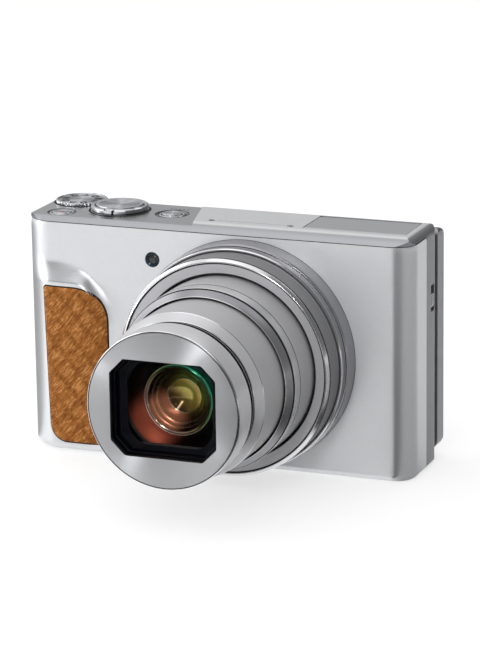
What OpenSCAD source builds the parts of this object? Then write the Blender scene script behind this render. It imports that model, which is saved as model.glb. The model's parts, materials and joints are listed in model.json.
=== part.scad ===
// Compact zoom camera with a three-stage barrel, a tilting screen and a pop-up flash.
// X runs along the camera's width, the lens looks along -Y, +Z is up.
// The outlines below measure Y from the front face and Z from the bottom plane; placed()
// then sets the origin in the middle of the bottom face.

/* [Body] */
// Width of the body
body_w = 110; // [106:1:122]
// Height of the body at its raised centre
body_h = 65.1; // [65:0.1:72]
// Depth of the body, without lens ring and screen
body_d = 24; // [24:0.5:28]
// Thickness of the outer shells
wall = 1.3; // [1:0.1:1.6]
// Corner radius in plan at the grip end, front
grip_corner_r = 9; // [7:0.5:11]
// Corner radius in plan at the far end, front
end_corner_r = 6; // [5:0.5:7]
// Corner radius in plan along the rear
rear_corner_r = 5; // [4:0.5:6]
// Rounding of the bottom edges
foot_r = 2; // [1:0.25:2.5]
// Depth of the parting line between the front and rear shells
seam_y = 13.2; // [12:0.2:15]
// Thickness of the top cover at its front edge
cover_t = 1.8; // [1.6:0.1:2]
// How far the control deck lies below the raised centre
deck_drop = 0.6; // [0.4:0.1:0.8]

/* [Grip] */
// How far the finger grip stands proud of the front face
grip_t = 2.6; // [1.5:0.1:3.5]
// Height of the finger grip
grip_h = 50; // [48:0.5:52]
// Height of the leather pad
pad_h = 43; // [38:0.5:43.5]
// Width of the leather pad
pad_w = 17.6; // [14:0.2:18]
// Thickness of the leather pad
pad_t = 0.9; // [0.6:0.1:1.2]

/* [Lens] */
// Lens axis, measured from mid width
lens_x = 9.4; // [8:0.1:10]
// Height of the lens axis
lens_z = 31.9; // [31.8:0.1:33]
// Radius of the fixed ring around the lens
bezel_r = 30.5; // [30.4:0.05:30.8]
// Height of the fixed ring's wide step
bezel_step = 5.7; // [4:0.1:7]
// Height of the fixed ring
bezel_h = 8.8; // [8:0.1:10]
// Outer radius of the large barrel
barrel1_r = 29.1; // [28.8:0.05:29.2]
// Outer radius of the middle barrel
barrel2_r = 24.3; // [23.8:0.1:24.6]
// Outer radius of the small barrel
barrel3_r = 21.8; // [21.4:0.1:22]
// Radius of the front cap
cap_r = 20.45; // [20.2:0.05:20.6]
// How far the large barrel stands out of the body when extended
reach1 = 16.8; // [16:0.1:18]
// How far the middle barrel stands out of the body when extended
reach2 = 30.4; // [30:0.1:31]
// How far the front cap stands out of the body when extended
reach3 = 57; // [56:0.1:58]
// Width of the opening in the front cap
mouth_w = 28.2; // [26:0.2:29]
// Height of the opening in the front cap
mouth_h = 24.8; // [22:0.2:25]
// Radius of the front glass
glass_r = 13.4; // [12:0.1:13.6]

/* [Controls] */
// Radius of the mode dial
mode_r = 7.1; // [6:0.1:7.1]
// Radius of the zoom ring around the shutter button
zoom_r = 7.9; // [7.4:0.1:7.9]
// Radius of the shutter button
shutter_r = 6.4; // [5.6:0.1:6.5]
// Radius of the power button
power_r = 2.75; // [2.4:0.05:3]
// Radius of the movie button
movie_r = 2.7; // [2.2:0.05:3]
// Radius of the rear control dial
wheel_r = 9.2; // [8.5:0.1:9.6]
// Radius of the button in the middle of the control dial
set_r = 3.9; // [3.4:0.1:4]
// Radius of the small rear buttons
key_r = 2.6; // [2.2:0.1:2.8]

/* [Screen] */
// Width of the screen case
screen_w = 75.9; // [72:0.1:76]
// Height of the screen case below its hinge
screen_h = 58; // [50:0.5:58.5]
// Thickness of the screen case
screen_t = 5.2; // [4.8:0.1:5.6]
// Thickness of the screen's cover glass
pane_t = 0.6; // [0.5:0.05:0.9]

/* [Flash] */
// Width of the flash head
flash_w = 28; // [24:0.5:28.5]
// Depth of the flash head
flash_d = 14; // [12:0.5:14.5]

/* [Power and card] */
// Width of the battery
battery_w = 26.2; // [24:0.1:26.4]
// Thickness of the battery
battery_t = 9.2; // [8:0.1:9.4]
// Height of the battery
battery_h = 41.6; // [36:0.2:42]
// Thickness of the battery door
door_t = 1.3; // [1.1:0.05:1.4]

/* [Fits] */
// Gap between a moving piece and its opening
gap = 0.15; // [0.1:0.05:0.25]
// Clearance of a pin in its bore
pin_gap = 0.05; // [0.02:0.01:0.08]
// Gap between one barrel and the next
barrel_gap = 0.3; // [0.2:0.05:0.4]

/* [Hidden] */
$fn = 0;

// Colours
silver = [0.78, 0.79, 0.81];
satin = [0.7, 0.71, 0.73];
black = [0.05, 0.05, 0.055];
leather = [0.66, 0.38, 0.16];
steel = [0.6, 0.61, 0.63];
board_green = [0.1, 0.35, 0.2];
gold = [0.8, 0.65, 0.3];

// Body
seam_z = body_h - cover_t;
deck_z = body_h - deck_drop;
front_top_d = 5.3;
front_top_r = (pow(front_top_d, 2) + pow(cover_t, 2)) / (2 * cover_t);
rear_top_r = 3;
left_top_r = 4;
right_top_r = 3;
half_w = body_w / 2;
big = 200;

grip_end = -half_w;

// Screws in the bottom
screw_r = 1.1;
screw_places = [[lens_x - 17.4, 11], [lens_x + 10.6, 18.5], [half_w - 5, 9.4]];

// Autofocus lamp
lamp_r = 2;
lamp_pos = [lens_x - 26.2, body_h - 10.1];

// Control places on the deck
zoom_pos = [grip_end + 23.3, 13.6];
mode_pos = [grip_end + 9.3, 19.8];
power_pos = [grip_end + 38.6, 13.2];
movie_pos = [grip_end + 9.4, 6.4];
zoom_hub_r = 5.6;
zoom_bore_r = 4.1;
shutter_stem_r = 3.9;
button_stem_r = 1.3;
mode_shaft_r = 2;
ring_top = deck_z + 1.6;
ring_web = 0.4;
ring_sink = 0.6;
mode_t = 1.5;
mode_proud = 0.85;
press = 0.7;
step_x = power_pos[0] + 7.8;
step_turn = 14;

// Flash
flash_x = half_w - 17.8;
flash_y = 13.8;
flash_lid_t = 1.4;
flash_front = flash_y - flash_d / 2;
flash_top = body_h - 0.05;
flash_end_r = 1;
flash_axis_y = flash_y + flash_d / 2 - flash_end_r;
flash_axis_z = flash_top - flash_end_r;
hinge_r = 0.5;

// Screen
screen_x = half_w - 0.6 - screen_w / 2;
screen_y = body_d + 0.2;
screen_axis_y = screen_y + screen_t / 2;
screen_axis_z = body_h - 4.9;
knuckle_w = 6;
knuckle_r = 2.2;
knuckle_x = [screen_x - 30, screen_x + 30];
screen_pin_r = 0.9;
knuckle_room = 4.1;

// Rear controls
wheel_pos = [grip_end + 17, 27];
playback_pos = [grip_end + 9, body_h - 18.1];
menu_pos = [grip_end + 25, 11];
wireless_pos = [grip_end + 9, 11];
wheel_hub_r = 6;
key_stem_r = 1.5;
key_proud = 0.6;
key_press = 0.5;

// Lens
barrel_wall = 0.9;
lens_bore_r = barrel1_r + 0.25;
housing_r = lens_bore_r + 0.85;
housing_d = 18.4;
travel1 = reach1 - bezel_h - 0.5;
travel2 = 13.1;
travel3 = 25.9;
tail1 = 4;
tail2 = -9;
tail3 = -26.4;
cap_l = 11;
mouth_cut = 3.7;
blade_t = 0.4;
blade_r = cap_r - 1.25;
frame_front = reach3 - 1.1;
frame_rear = reach3 - 5.4;
inner_w = mouth_w - 2.8;
inner_h = mouth_h - 3.8;
cell_front = reach3 - 8.5;
cell_rear = reach3 - 13;

// Zoom drive
gear_module = 0.6;
ring_teeth = 94;
gear_teeth = 18;
ring_pitch_r = ring_teeth * gear_module / 2;
gear_pitch_r = gear_teeth * gear_module / 2;
drive_y = housing_d - 2.8;
drive_t = 2;
drive_angle = 30;
drive_dist = ring_pitch_r + gear_pitch_r + 0.05;
drive_x = lens_x + drive_dist * cos(drive_angle);
drive_z = lens_z + drive_dist * sin(drive_angle);
shaft_r = 0.75;
motor_r = drive_dist - housing_r - 0.15;

// Frame behind the lens
plate_y = body_d - 3.4;
plate_t = 0.6;
plate_z0 = 4;
plate_z1 = seam_z - 2.3;
plate_side_x = half_w - 15;
rod_r = 0.8;
rod_out = 17;
leg_r = 1.6;
leg_out = 19;
board_t = 0.7;
board_z0 = 6;
main_board_y = body_d - wall - 0.1 - board_t;
main_board_x1 = half_w - 5;
main_board_z1 = body_h - 7.1;
chip_w = 6.6;
chip_h = 8;
chip_t = 0.9;
board_post_r = 1.2;
rear_board_y = plate_y;
rear_board_x0 = grip_end + 3;
rear_board_w = 26.5;
rear_board_z1 = body_h - 9.1;
top_board_z = seam_z - 2.85;
top_board_y0 = 4.4;
top_board_y1 = 17.2;
switch_r = 1.6;
sensor_w = 12.4;
sensor_h = 10.4;
sensor_t = 0.5;
capacitor_r = 4.3;
capacitor_h = 32;
capacitor_pos = [half_w - 7.2, 8.6];
shelf_y = capacitor_pos[1] + capacitor_r;
shelf_z1 = board_z0 + capacitor_h + 2;
chip_x = plate_side_x - 8;

// Battery compartment
bay_gap = 0.2;
tray_wall = 0.8;
tray_x0 = grip_end + 3.2;
tray_x1 = tray_x0 + battery_w + 2 * (tray_wall + bay_gap);
tray_y0 = 4.6;
tray_z0 = 1.9;
tray_ceiling = tray_z0 + battery_h + 1.4;
tray_roof = 1;
battery_x = (tray_x0 + tray_x1) / 2;
battery_y = tray_y0 + 0.9;
card_w = 24;
card_t = 2.1;
card_h = 32;
card_y = battery_y + battery_t + tray_wall;
tray_y1 = card_y + card_t + tray_wall + bay_gap;
contact_w = 1.4;
contact_step = 4;
door_x0 = tray_x0 + bay_gap;
door_x1 = tray_x1 - 2 * bay_gap;
door_y0 = tray_y0 + bay_gap;
door_axis_y = tray_y1 - 0.1;
door_z = 0.1;
door_pin_r = 0.35;
ear_w = 1.1;
latch_w = 6;
latch_d = 3.4;
latch_run = 2.4;
latch_x = door_x0 + 9.2;
latch_y = door_y0 + 1.8;

// Ports
port_y0 = 8.6;
port_w = 9.4;
port_z0 = tray_ceiling + tray_roof + 0.7;
port_h = body_h - 5.1 - port_z0;
port_t = 1;
usb_h = 3;
usb_w = 7.4;
hdmi_h = 3.2;
hdmi_w = 6.4;
socket_gap = (port_h - usb_h - hdmi_h) / 3;
socket_x0 = grip_end + 1.8;
socket_x1 = grip_end + 7.5;
port_axis_x = grip_end + 0.05 + port_t / 2;
port_axis_y = port_y0 + port_t / 2;

// Strap eyelet in the grip end
strap_z0 = 34;
strap_h = 8;
strap_y0 = 13.4;
strap_w = 4.8;
strap_depth = 2.3;
strap_bar_r = 0.65;
strap_bar_x = grip_end + 0.85;
strap_bar_y = strap_y0 + strap_w / 2;

// Flash switch in the far end
lever_y = 18;
lever_w = 2.4;
lever_z0 = body_h - 21.5;
lever_h = 3.4;
lever_run = 2.6;

// Speaker in the bottom
speaker_r = 4;
speaker_pos = [half_w - 9.6, 15.9];

// Tripod thread, 1/4 inch
tripod_pos = [half_w - 23, 12];
tripod_r = 2.65;
tripod_depth = 6.2;
tripod_boss_r = 4.15;
tripod_foot = [12, 13.6, 0.8];

// Moves the camera so that the origin is in the middle of the bottom face.
module placed() {
  translate([0, -body_d / 2, 0]) children();
}

// Shape helpers -------------------------------------------------------------

// Extrudes an outline given in X and Z from y0 to y1.
module prism_y(y0, y1) {
  translate([0, y1, 0]) rotate([90, 0, 0]) linear_extrude(y1 - y0) children();
}

// Extrudes an outline given in Y and Z from x0 to x1.
module prism_x(x0, x1) {
  translate([x0, 0, 0]) rotate([90, 0, 90]) linear_extrude(x1 - x0) children();
}

// A box between two corners.
module block(low, high) {
  translate(low) cube(high - low);
}

// A cylinder along Y at [x, z].
module rod_y(pos, r, y0, y1) {
  translate([pos[0], y0, pos[1]]) rotate([-90, 0, 0]) cylinder(r = r, h = y1 - y0);
}

// A cylinder along X at [y, z].
module rod_x(pos, r, x0, x1) {
  translate([x0, pos[0], pos[1]]) rotate([0, 90, 0]) cylinder(r = r, h = x1 - x0);
}

// A cylinder along Z at [x, y].
module rod_z(pos, r, z0, z1) {
  translate([pos[0], pos[1], z0]) cylinder(r = r, h = z1 - z0);
}

// Turns an outline of [radius, distance in front of the body] around the lens axis.
module turned(points) {
  translate([lens_x, 0, lens_z]) rotate([90, 0, 0]) rotate_extrude() polygon(points);
}

// A rectangle with its own radius at each corner, from low to high.
module soft_rect(low, high, r_ll, r_hl, r_hh, r_lh) {
  difference() {
    translate(low) square(high - low);
    corner_cut(low, [1, 1], r_ll);
    corner_cut([high[0], low[1]], [-1, 1], r_hl);
    corner_cut(high, [-1, -1], r_hh);
    corner_cut([low[0], high[1]], [1, -1], r_lh);
  }
}

// What a rounded corner at pos takes away; dir points into the outline.
module corner_cut(pos, dir, r) {
  translate(pos) difference() {
    translate([dir[0] * r / 2, dir[1] * r / 2]) square(r + 0.02, center = true);
    translate([dir[0] * r, dir[1] * r]) circle(r);
    translate([dir[0] * (r + 1), dir[1] * r]) square([2, 3 * r], center = true);
    translate([dir[0] * r, dir[1] * (r + 1)]) square([3 * r, 2], center = true);
  }
}

// A rectangle with cut corners.
module cut_rect(w, h, cut) {
  polygon([
    [-w / 2 + cut, -h / 2], [w / 2 - cut, -h / 2], [w / 2, -h / 2 + cut], [w / 2, h / 2 - cut],
    [w / 2 - cut, h / 2], [-w / 2 + cut, h / 2], [-w / 2, h / 2 - cut], [-w / 2, -h / 2 + cut]
  ]);
}

// A spur gear's outline.
module gear_outline(teeth, pitch_r) {
  tip = pitch_r + 0.9 * gear_module;
  root = pitch_r - 1.15 * gear_module;
  step = 360 / teeth;
  polygon([
    for (i = [0:teeth - 1]) for (p = [[root, -0.36], [tip, -0.14], [tip, 0.14], [root, 0.36]])
      [p[0] * cos((i + p[1]) * step), p[0] * sin((i + p[1]) * step)]
  ]);
}

// The body's whole outer form, drawn in by inset.
module body_form(inset) {
  front_r = max(grip_corner_r - inset, 0.5);
  end_r = max(end_corner_r - inset, 0.5);
  back_r = max(rear_corner_r - inset, 0.5);
  low = [-half_w + inset, inset];
  high = [half_w - inset, body_d - inset];
  intersection() {
    linear_extrude(body_h + 1) soft_rect(low, high, front_r, end_r, back_r, back_r);
    prism_x(-big, big) side_outline(inset);
    prism_y(-big, big) soft_rect([low[0], inset], [high[0], body_h - inset], foot_r, foot_r,
                                 right_top_r, left_top_r);
  }
}

// The body's side outline: the front runs back to the top in a wide arc.
module side_outline(inset) {
  flat_z = body_h - inset;
  intersection() {
    soft_rect([inset, inset], [body_d - inset, flat_z], foot_r, foot_r, rear_top_r, 0.1);
    union() {
      translate([front_top_d, body_h - front_top_r]) circle(front_top_r - inset);
      translate([front_top_d, 0]) square([body_d, body_h]);
      square([body_d, seam_z - inset]);
    }
  }
}

// Everything below the cover's parting line and on one side of the shells' parting line.
module front_region() {
  block([-big, -big, -1], [big, seam_y, seam_z]);
}

module rear_region() {
  block([-big, seam_y, -1], [big, big, seam_z]);
}

module shell_form() {
  difference() {
    body_form(0);
    body_form(wall);
  }
}

// The openings that cross the shells' parting line.
module shared_openings() {
  block([door_x0 - 1.4, door_y0 - gap, -1], [door_x1 + 1.4, door_axis_y + 0.8, wall + 0.5]);
  block([-half_w - 1, port_y0 - gap, port_z0 - gap],
        [-half_w + wall + 0.5, port_y0 + port_w + gap, port_z0 + port_h + gap]);
}

// Shells --------------------------------------------------------------------

// The raised grip in plan: it rounds the corner with the body and fades out beside the lens.
module grip_plan() {
  left = -half_w + 1.2;
  fade = left + pad_w + 5.6;
  union() {
    soft_rect([left, -grip_t], [fade, wall], grip_corner_r - 1.8, 0.1, 0.1, 0.1);
    polygon([
      [fade - 0.1, -grip_t], [fade + 2.4, -grip_t * 0.72], [fade + 5.6, -grip_t * 0.2],
      [fade + 8, 0], [fade + 8, wall], [fade - 0.1, wall]
    ]);
  }
}

// The grip from the side, with its round shoulder on top.
module grip_side() {
  shoulder = grip_t + 1.6;
  union() {
    soft_rect([-grip_t, 1], [wall, grip_h - 3.4], foot_r, 0.1, 0.1, 0.1);
    translate([-grip_t + shoulder, grip_h - shoulder - 0.6]) circle(shoulder);
  }
}

module grip_swell() {
  intersection() {
    translate([0, 0, 0.4]) linear_extrude(grip_h) grip_plan();
    prism_x(-half_w, 0) grip_side();
    block([-half_w, -big, 0], [0, grip_corner_r, grip_h]);
  }
}

// The leather pad's outline in X and Z, drawn in by inset.
module pad_outline(inset) {
  left = -half_w + 7.2;
  low = 3.2;
  soft_rect([left + inset, low + inset], [left + pad_w - inset, low + pad_h - inset], 3.4, 2.5,
            8, 1);
}

module front_shell() {
  color(silver) difference() {
    union() {
      intersection() {
        shell_form();
        front_region();
      }
      difference() {
        grip_swell();
        body_form(0.4);
      }
    }
    prism_y(-20, -grip_t + pad_t * 0.6) pad_outline(-0.1);
    rod_y([lens_x, lens_z], housing_r + gap, -5, seam_y);
    rod_y(lamp_pos, lamp_r + pin_gap, -1, wall + 1);
    shared_openings();
    socket_opening();
    speaker_holes();
    screw_holes();
    rod_z([port_axis_x, port_axis_y], 0.3, port_z0 - 0.6, port_z0 + port_h + 0.6);
  }
}

// The hole for the tripod socket.
module socket_opening() {
  rod_z(tripod_pos, tripod_boss_r + gap, -1, wall + 0.5);
}

module speaker_holes() {
  for (i = [-1:1]) for (j = [-1:1])
    rod_z(speaker_pos + [i * 1.8, j * 1.8], 0.4, -1, wall + 1);
}

module rear_shell() {
  color(silver) difference() {
    union() {
      intersection() {
        shell_form();
        rear_region();
      }
      intersection() {
        strap_pocket(0.7);
        body_form(0);
        rear_region();
      }
      // Bosses that hold the rear board
      for (z = [board_z0 + 10, rear_board_z1 - 4])
        rod_y([rear_board_x0 + 25, z], board_post_r, rear_board_y + board_t + 0.05, body_d - 1);
    }
    strap_pocket(0);
    shared_openings();
    socket_opening();
    speaker_holes();
    screw_holes();
    // Seats of the wheel and the keys
    rod_y(wheel_pos, wheel_r + gap, body_d - 0.8, body_d + 1);
    rod_y(wheel_pos, wheel_hub_r + 0.2, body_d - wall - 1, body_d + 1);
    for (p = [playback_pos, menu_pos, wireless_pos])
      rod_y(p, key_r + gap, body_d - wall - 1, body_d + 1);
    // Slot of the flash switch
    block([half_w - wall - 1, lever_y - lever_w / 2 - 0.2, lever_z0 - 1.2],
          [half_w + 1, lever_y + lever_w / 2 + 0.2, lever_z0 + lever_h + lever_run]);
    // Room for the mode dial
    rod_z(mode_pos, mode_r + 0.3, seam_z - 0.4, seam_z + 1);
    // Strap bar's seats
    rod_z([strap_bar_x, strap_bar_y], strap_bar_r + pin_gap, strap_z0 - 0.8,
          strap_z0 + strap_h + 0.8);
  }
}

module strap_pocket(grow) {
  block([grip_end - 1 + grow, strap_y0 - grow, strap_z0 - grow],
        [grip_end + strap_depth + grow, strap_y0 + strap_w + grow, strap_z0 + strap_h + grow]);
}

module top_cover() {
  color(silver) difference() {
    union() {
      intersection() {
        shell_form();
        block([-big, -big, seam_z], [big, big, big]);
      }
      // Seat under the mode dial, which stands over the rear edge
      intersection() {
        rod_z(mode_pos, mode_r + 0.5, seam_z, deck_z - 0.2);
        block([-half_w + 0.6, 0, 0], [half_w, big, big]);
      }
      // Posts that hold the top board
      for (p = [[zoom_pos[0] + 9.1, 5.4], [grip_end + 4.6, 12]])
        rod_z(p, 1.1, top_board_z + board_t, seam_z + 0.5);
      // Lugs that hold the flash hinge pin
      for (s = [-1, 1]) translate([flash_x + s * (flash_w / 2 + 0.65), flash_axis_y, flash_axis_z])
        cube([1, 1.9, 1.9], center = true);
    }
    // The control deck lies lower than the centre
    translate([step_x, body_d / 2, deck_z]) rotate([0, 0, step_turn])
      block([-big, -big, 0], [0, big, 10]);
    rod_z(zoom_pos, zoom_r + gap, deck_z - ring_sink, big);
    rod_z(zoom_pos, zoom_hub_r + gap, 0, big);
    rod_z(mode_pos, mode_r + gap, deck_z + mode_proud - mode_t - 0.1, big);
    rod_z(mode_pos, mode_shaft_r + pin_gap, 0, big);
    rod_z(power_pos, power_r + gap, 0, big);
    rod_z(power_pos, power_r + 1.7, deck_z - 0.3, big);
    rod_z(movie_pos, movie_r + gap, 0, big);
    rod_z(movie_pos, movie_r + 1.1, deck_z - 0.25, big);
    // Sound holes
    for (x = [lens_x - 12, lens_x + 10]) block([x - 0.9, 6.9, seam_z - 1], [x + 0.9, 7.7, big]);
    block([flash_x - flash_w / 2 - gap, flash_y - flash_d / 2 - gap, 0],
          [flash_x + flash_w / 2 + gap, flash_y + flash_d / 2 + gap, big]);
    rod_x([flash_axis_y, flash_axis_z], hinge_r, flash_x - flash_w / 2 - 0.7,
          flash_x + flash_w / 2 + 0.7);
  }
}

module grip_pad() {
  back = -grip_t + pad_t * 0.6;
  color(leather) prism_y(back - pad_t, back) pad_outline(0.1);
}

module lamp_window() {
  color(black) rod_y(lamp_pos, lamp_r, 0.1, wall + 0.6);
}

module strap_bar() {
  color(steel) rod_z([strap_bar_x, strap_bar_y], strap_bar_r, strap_z0 - 0.7,
                     strap_z0 + strap_h + 0.7);
}

// Screws --------------------------------------------------------------------

module screw_holes() {
  for (p = screw_places) rod_z(p, screw_r + pin_gap, -1, wall + 1);
}

module case_screws() {
  color(steel) for (p = screw_places) difference() {
    rod_z(p, screw_r, 0.35, wall - 0.05);
    translate([p[0] - 0.8, p[1] - 0.15, 0]) cube([1.6, 0.3, 0.6]);
    translate([p[0] - 0.15, p[1] - 0.8, 0]) cube([0.3, 1.6, 0.6]);
  }
}

// Frame, boards and what is inside -------------------------------------------

// Four legs stand on the housing's rear wall and carry the chassis plate.
leg_places = [for (sx = [-1, 1]) for (sz = [-1, 1]) [sx * leg_out, sz * leg_out]];

module lens_housing() {
  color(black) difference() {
    union() {
      rod_y([lens_x, lens_z], housing_r, 0, housing_d + 1);
      for (p = leg_places) rod_y([lens_x + p[0], lens_z + p[1]], leg_r, housing_d + 0.5, plate_y);
    }
    rod_y([lens_x, lens_z], lens_bore_r, -1, housing_d);
    rod_y([lens_x, lens_z], barrel3_r + 0.4, 0, plate_y - 1);
    rod_y([drive_x, drive_z], gear_pitch_r + 0.9, drive_y - 0.3, drive_y + drive_t + 0.3);
  }
}

module chassis_plate() {
  color(steel) difference() {
    union() {
      block([tray_x1 - 0.4, plate_y, plate_z0],
            [plate_side_x + plate_t, plate_y + plate_t, plate_z1]);
      // Side wall and shelf, which carry the capacitor
      block([plate_side_x, shelf_y + 0.1, board_z0],
            [plate_side_x + plate_t, plate_y + plate_t, shelf_z1]);
      block([plate_side_x, shelf_y, board_z0],
            [half_w - wall - 1.1, shelf_y + plate_t, shelf_z1]);
      // Foot that reaches over the tripod socket
      block([tripod_pos[0] - 8, plate_y - 4, plate_z0],
            [plate_side_x, plate_y + plate_t, plate_z0 + plate_t]);
    }
    for (x = [lens_x - 28.4, lens_x + 23.6])
      rod_y([x, plate_z0 + 8], 1.3, plate_y - 1, plate_y + 2);
    block([chip_x - 1, plate_y - 1, 22.6], [plate_side_x - plate_t, plate_y + 2, 43]);
  }
}

module image_sensor() {
  color(black) union() {
    block([lens_x - sensor_w / 2, plate_y - sensor_t, lens_z - sensor_h / 2],
          [lens_x + sensor_w / 2, plate_y, lens_z + sensor_h / 2]);
    block([lens_x - sensor_w / 2 + 1.8, plate_y - sensor_t - 0.4, lens_z - sensor_h / 2 + 1.8],
          [lens_x + sensor_w / 2 - 1.8, plate_y - sensor_t, lens_z + sensor_h / 2 - 1.8]);
  }
}

module main_board() {
  color(board_green) union() {
    block([tray_x1 + 1.6, main_board_y, board_z0],
          [main_board_x1, main_board_y + board_t, main_board_z1]);
    for (z = [24, 34]) block([chip_x, main_board_y - chip_t, z],
                             [chip_x + chip_w, main_board_y, z + chip_h]);
    for (p = [[lens_x - 24.4, 20], [plate_side_x - board_post_r, 45]])
      rod_y(p, board_post_r, plate_y + plate_t, main_board_y);
  }
}

module tripod_socket() {
  color(steel) difference() {
    union() {
      rod_z(tripod_pos, tripod_boss_r, 0.05, tripod_depth + 0.8);
      translate([tripod_pos[0], tripod_pos[1], wall + tripod_foot[2] / 2])
        cube(tripod_foot, center = true);
    }
    rod_z(tripod_pos, tripod_r, -1, tripod_depth);
  }
}

module battery() {
  low = [battery_x - battery_w / 2, battery_y, tray_z0];
  color([0.2, 0.2, 0.22]) difference() {
    block(low, low + [battery_w, battery_t, battery_h]);
    for (i = [-1:1]) translate([battery_x + i * contact_step - contact_w / 2 - 0.5,
                                battery_y + 3, tray_z0 + battery_h - 0.4])
      cube([contact_w + 1, 3, 1]);
  }
}

module memory_card() {
  color([0.1, 0.15, 0.35]) prism_y(card_y, card_y + card_t)
    translate([battery_x - card_w / 2, tray_z0 + 0.4]) difference() {
      square([card_w, card_h]);
      translate([card_w, card_h]) rotate(45) square([5, 5], center = true);
    }
}

module battery_tray() {
  bay = [battery_w + 2 * bay_gap, battery_t + 2 * bay_gap];
  color([0.12, 0.12, 0.13]) difference() {
    union() {
      block([tray_x0, tray_y0, tray_z0], [tray_x1, tray_y1, tray_ceiling + tray_roof]);
      // Ears for the door's hinge pin
      block([door_x0 - ear_w, door_axis_y - 0.8, door_z + 0.1],
            [door_x0 - gap, door_axis_y + 0.7, tray_z0 + 3]);
      block([door_x1 + gap, door_axis_y - 0.8, door_z + 0.1],
            [door_x1 + ear_w, door_axis_y + 0.7, tray_z0 + 3]);
      // Bracket behind the sockets
      block([socket_x1, port_y0 + 0.8, tray_ceiling],
            [socket_x1 + 1.2, port_y0 + port_w - 0.8, port_z0 + port_h - 2.7]);
    }
    block([battery_x - bay[0] / 2, battery_y - bay_gap, 0],
          [battery_x + bay[0] / 2, battery_y - bay_gap + bay[1], tray_ceiling]);
    block([battery_x - card_w / 2 - bay_gap, card_y - bay_gap, 0],
          [battery_x + card_w / 2 + bay_gap, card_y + card_t + bay_gap,
           tray_z0 + card_h + 0.8]);
    rod_x([door_axis_y, door_z + 0.65], door_pin_r, door_x0 - 2, door_x1 + 2);
  }
}

module battery_contacts() {
  color(gold) for (i = [-1:1])
    translate([battery_x + i * contact_step - contact_w / 2, battery_y + 3.8,
               tray_z0 + battery_h - 0.4]) cube([contact_w, contact_w, 1.8]);
}

module socket_shell(z, w, h) {
  y = port_y0 + port_w / 2;
  difference() {
    block([socket_x0, y - w / 2, z], [socket_x1, y + w / 2, z + h]);
    block([grip_end, y - w / 2 + 0.3, z + 0.3],
          [socket_x1 - 0.7, y + w / 2 - 0.3, z + h - 0.3]);
  }
  block([socket_x0 + 1.2, y - w / 4, z + h / 2 - 0.3],
        [socket_x1 - 0.5, y + w / 4, z + h / 2 + 0.3]);
}

module usb_socket() {
  color(steel) socket_shell(port_z0 + socket_gap, usb_w, usb_h);
}

module hdmi_socket() {
  color(steel) socket_shell(port_z0 + usb_h + 2 * socket_gap, hdmi_w, hdmi_h);
}

module speaker() {
  color(black) difference() {
    rod_z(speaker_pos, speaker_r, wall, wall + 2.6);
    rod_z(speaker_pos, speaker_r - 0.6, 0, wall + 0.5);
  }
}

module top_board() {
  color(board_green) union() {
    block([grip_end + 3.6, top_board_y0, top_board_z],
          [power_pos[0] + 4.8, top_board_y1, top_board_z + board_t]);
    for (p = [zoom_pos, power_pos, movie_pos])
      rod_z(p, switch_r, top_board_z + board_t - 0.05, deck_z - 2.5);
  }
}

module rear_board() {
  color(board_green) union() {
    block([rear_board_x0, rear_board_y, board_z0],
          [rear_board_x0 + rear_board_w, rear_board_y + board_t, rear_board_z1]);
    for (p = [wheel_pos, playback_pos, menu_pos, wireless_pos])
      rod_y(p, key_stem_r, rear_board_y + board_t - 0.1, body_d - wall - 0.8 - key_press);
  }
}

module guide_rods() {
  color(steel) for (s = [-1, 1])
    rod_y([lens_x + s * rod_out, lens_z], rod_r, 4, plate_y);
}

module zoom_motor() {
  color(steel) difference() {
    rod_y([drive_x, drive_z], motor_r, 4, drive_y - 0.4);
    rod_y([drive_x, drive_z], shaft_r + pin_gap, drive_y - 6, drive_y);
  }
}

module flash_capacitor() {
  color([0.1, 0.1, 0.12]) rod_z(capacitor_pos, capacitor_r, board_z0, board_z0 + capacitor_h);
}

// Hinge pins: two for the screen, one for the flash, one for the battery door.
module hinge_pins() {
  color(steel) union() {
    for (x = knuckle_x) rod_x([screen_axis_y, screen_axis_z], screen_pin_r,
                              x - knuckle_w / 2 - 4, x + knuckle_w / 2 + 4);
    rod_x([flash_axis_y, flash_axis_z], hinge_r, flash_x - flash_w / 2 - 0.6,
          flash_x + flash_w / 2 + 0.6);
    rod_x([door_axis_y, door_z + 0.65], door_pin_r, door_x0 - 1.1, door_x1 + 1.1);
  }
}

module screen_bracket() {
  color(steel) for (x = knuckle_x) difference() {
    union() {
      rod_x([screen_axis_y, screen_axis_z], knuckle_r, x - knuckle_w / 2, x + knuckle_w / 2);
      block([x - knuckle_w / 2, body_d, screen_axis_z - knuckle_r],
            [x + knuckle_w / 2, screen_axis_y, screen_axis_z + knuckle_r]);
    }
    rod_x([screen_axis_y, screen_axis_z], screen_pin_r, x - knuckle_w, x + knuckle_w);
  }
}

// Lens ----------------------------------------------------------------------

module lens_bezel() {
  narrow = bezel_r - 0.55;
  color(silver) turned([
    [lens_bore_r, 0], [bezel_r, 0], [bezel_r, bezel_step - 0.3], [bezel_r - 0.3, bezel_step],
    [narrow, bezel_step], [narrow, bezel_step + 1.2], [narrow - 0.25, bezel_step + 1.4],
    [narrow - 0.25, bezel_step + 1.8], [narrow, bezel_step + 2], [narrow, bezel_h - 0.2],
    [narrow - 0.2, bezel_h], [lens_bore_r, bezel_h]
  ]);
}

module barrel_1() {
  r = barrel1_r;
  bore = barrel2_r + barrel_gap;
  color(satin) turned([
    [r - barrel_wall, -tail1], [r, -tail1], [r, reach1 - 0.7], [r - 0.6, reach1],
    [r - 1, reach1], [bore, reach1 - 1.6], [bore, reach1 - 4.6], [r - barrel_wall, reach1 - 4.6]
  ]);
}

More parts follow.
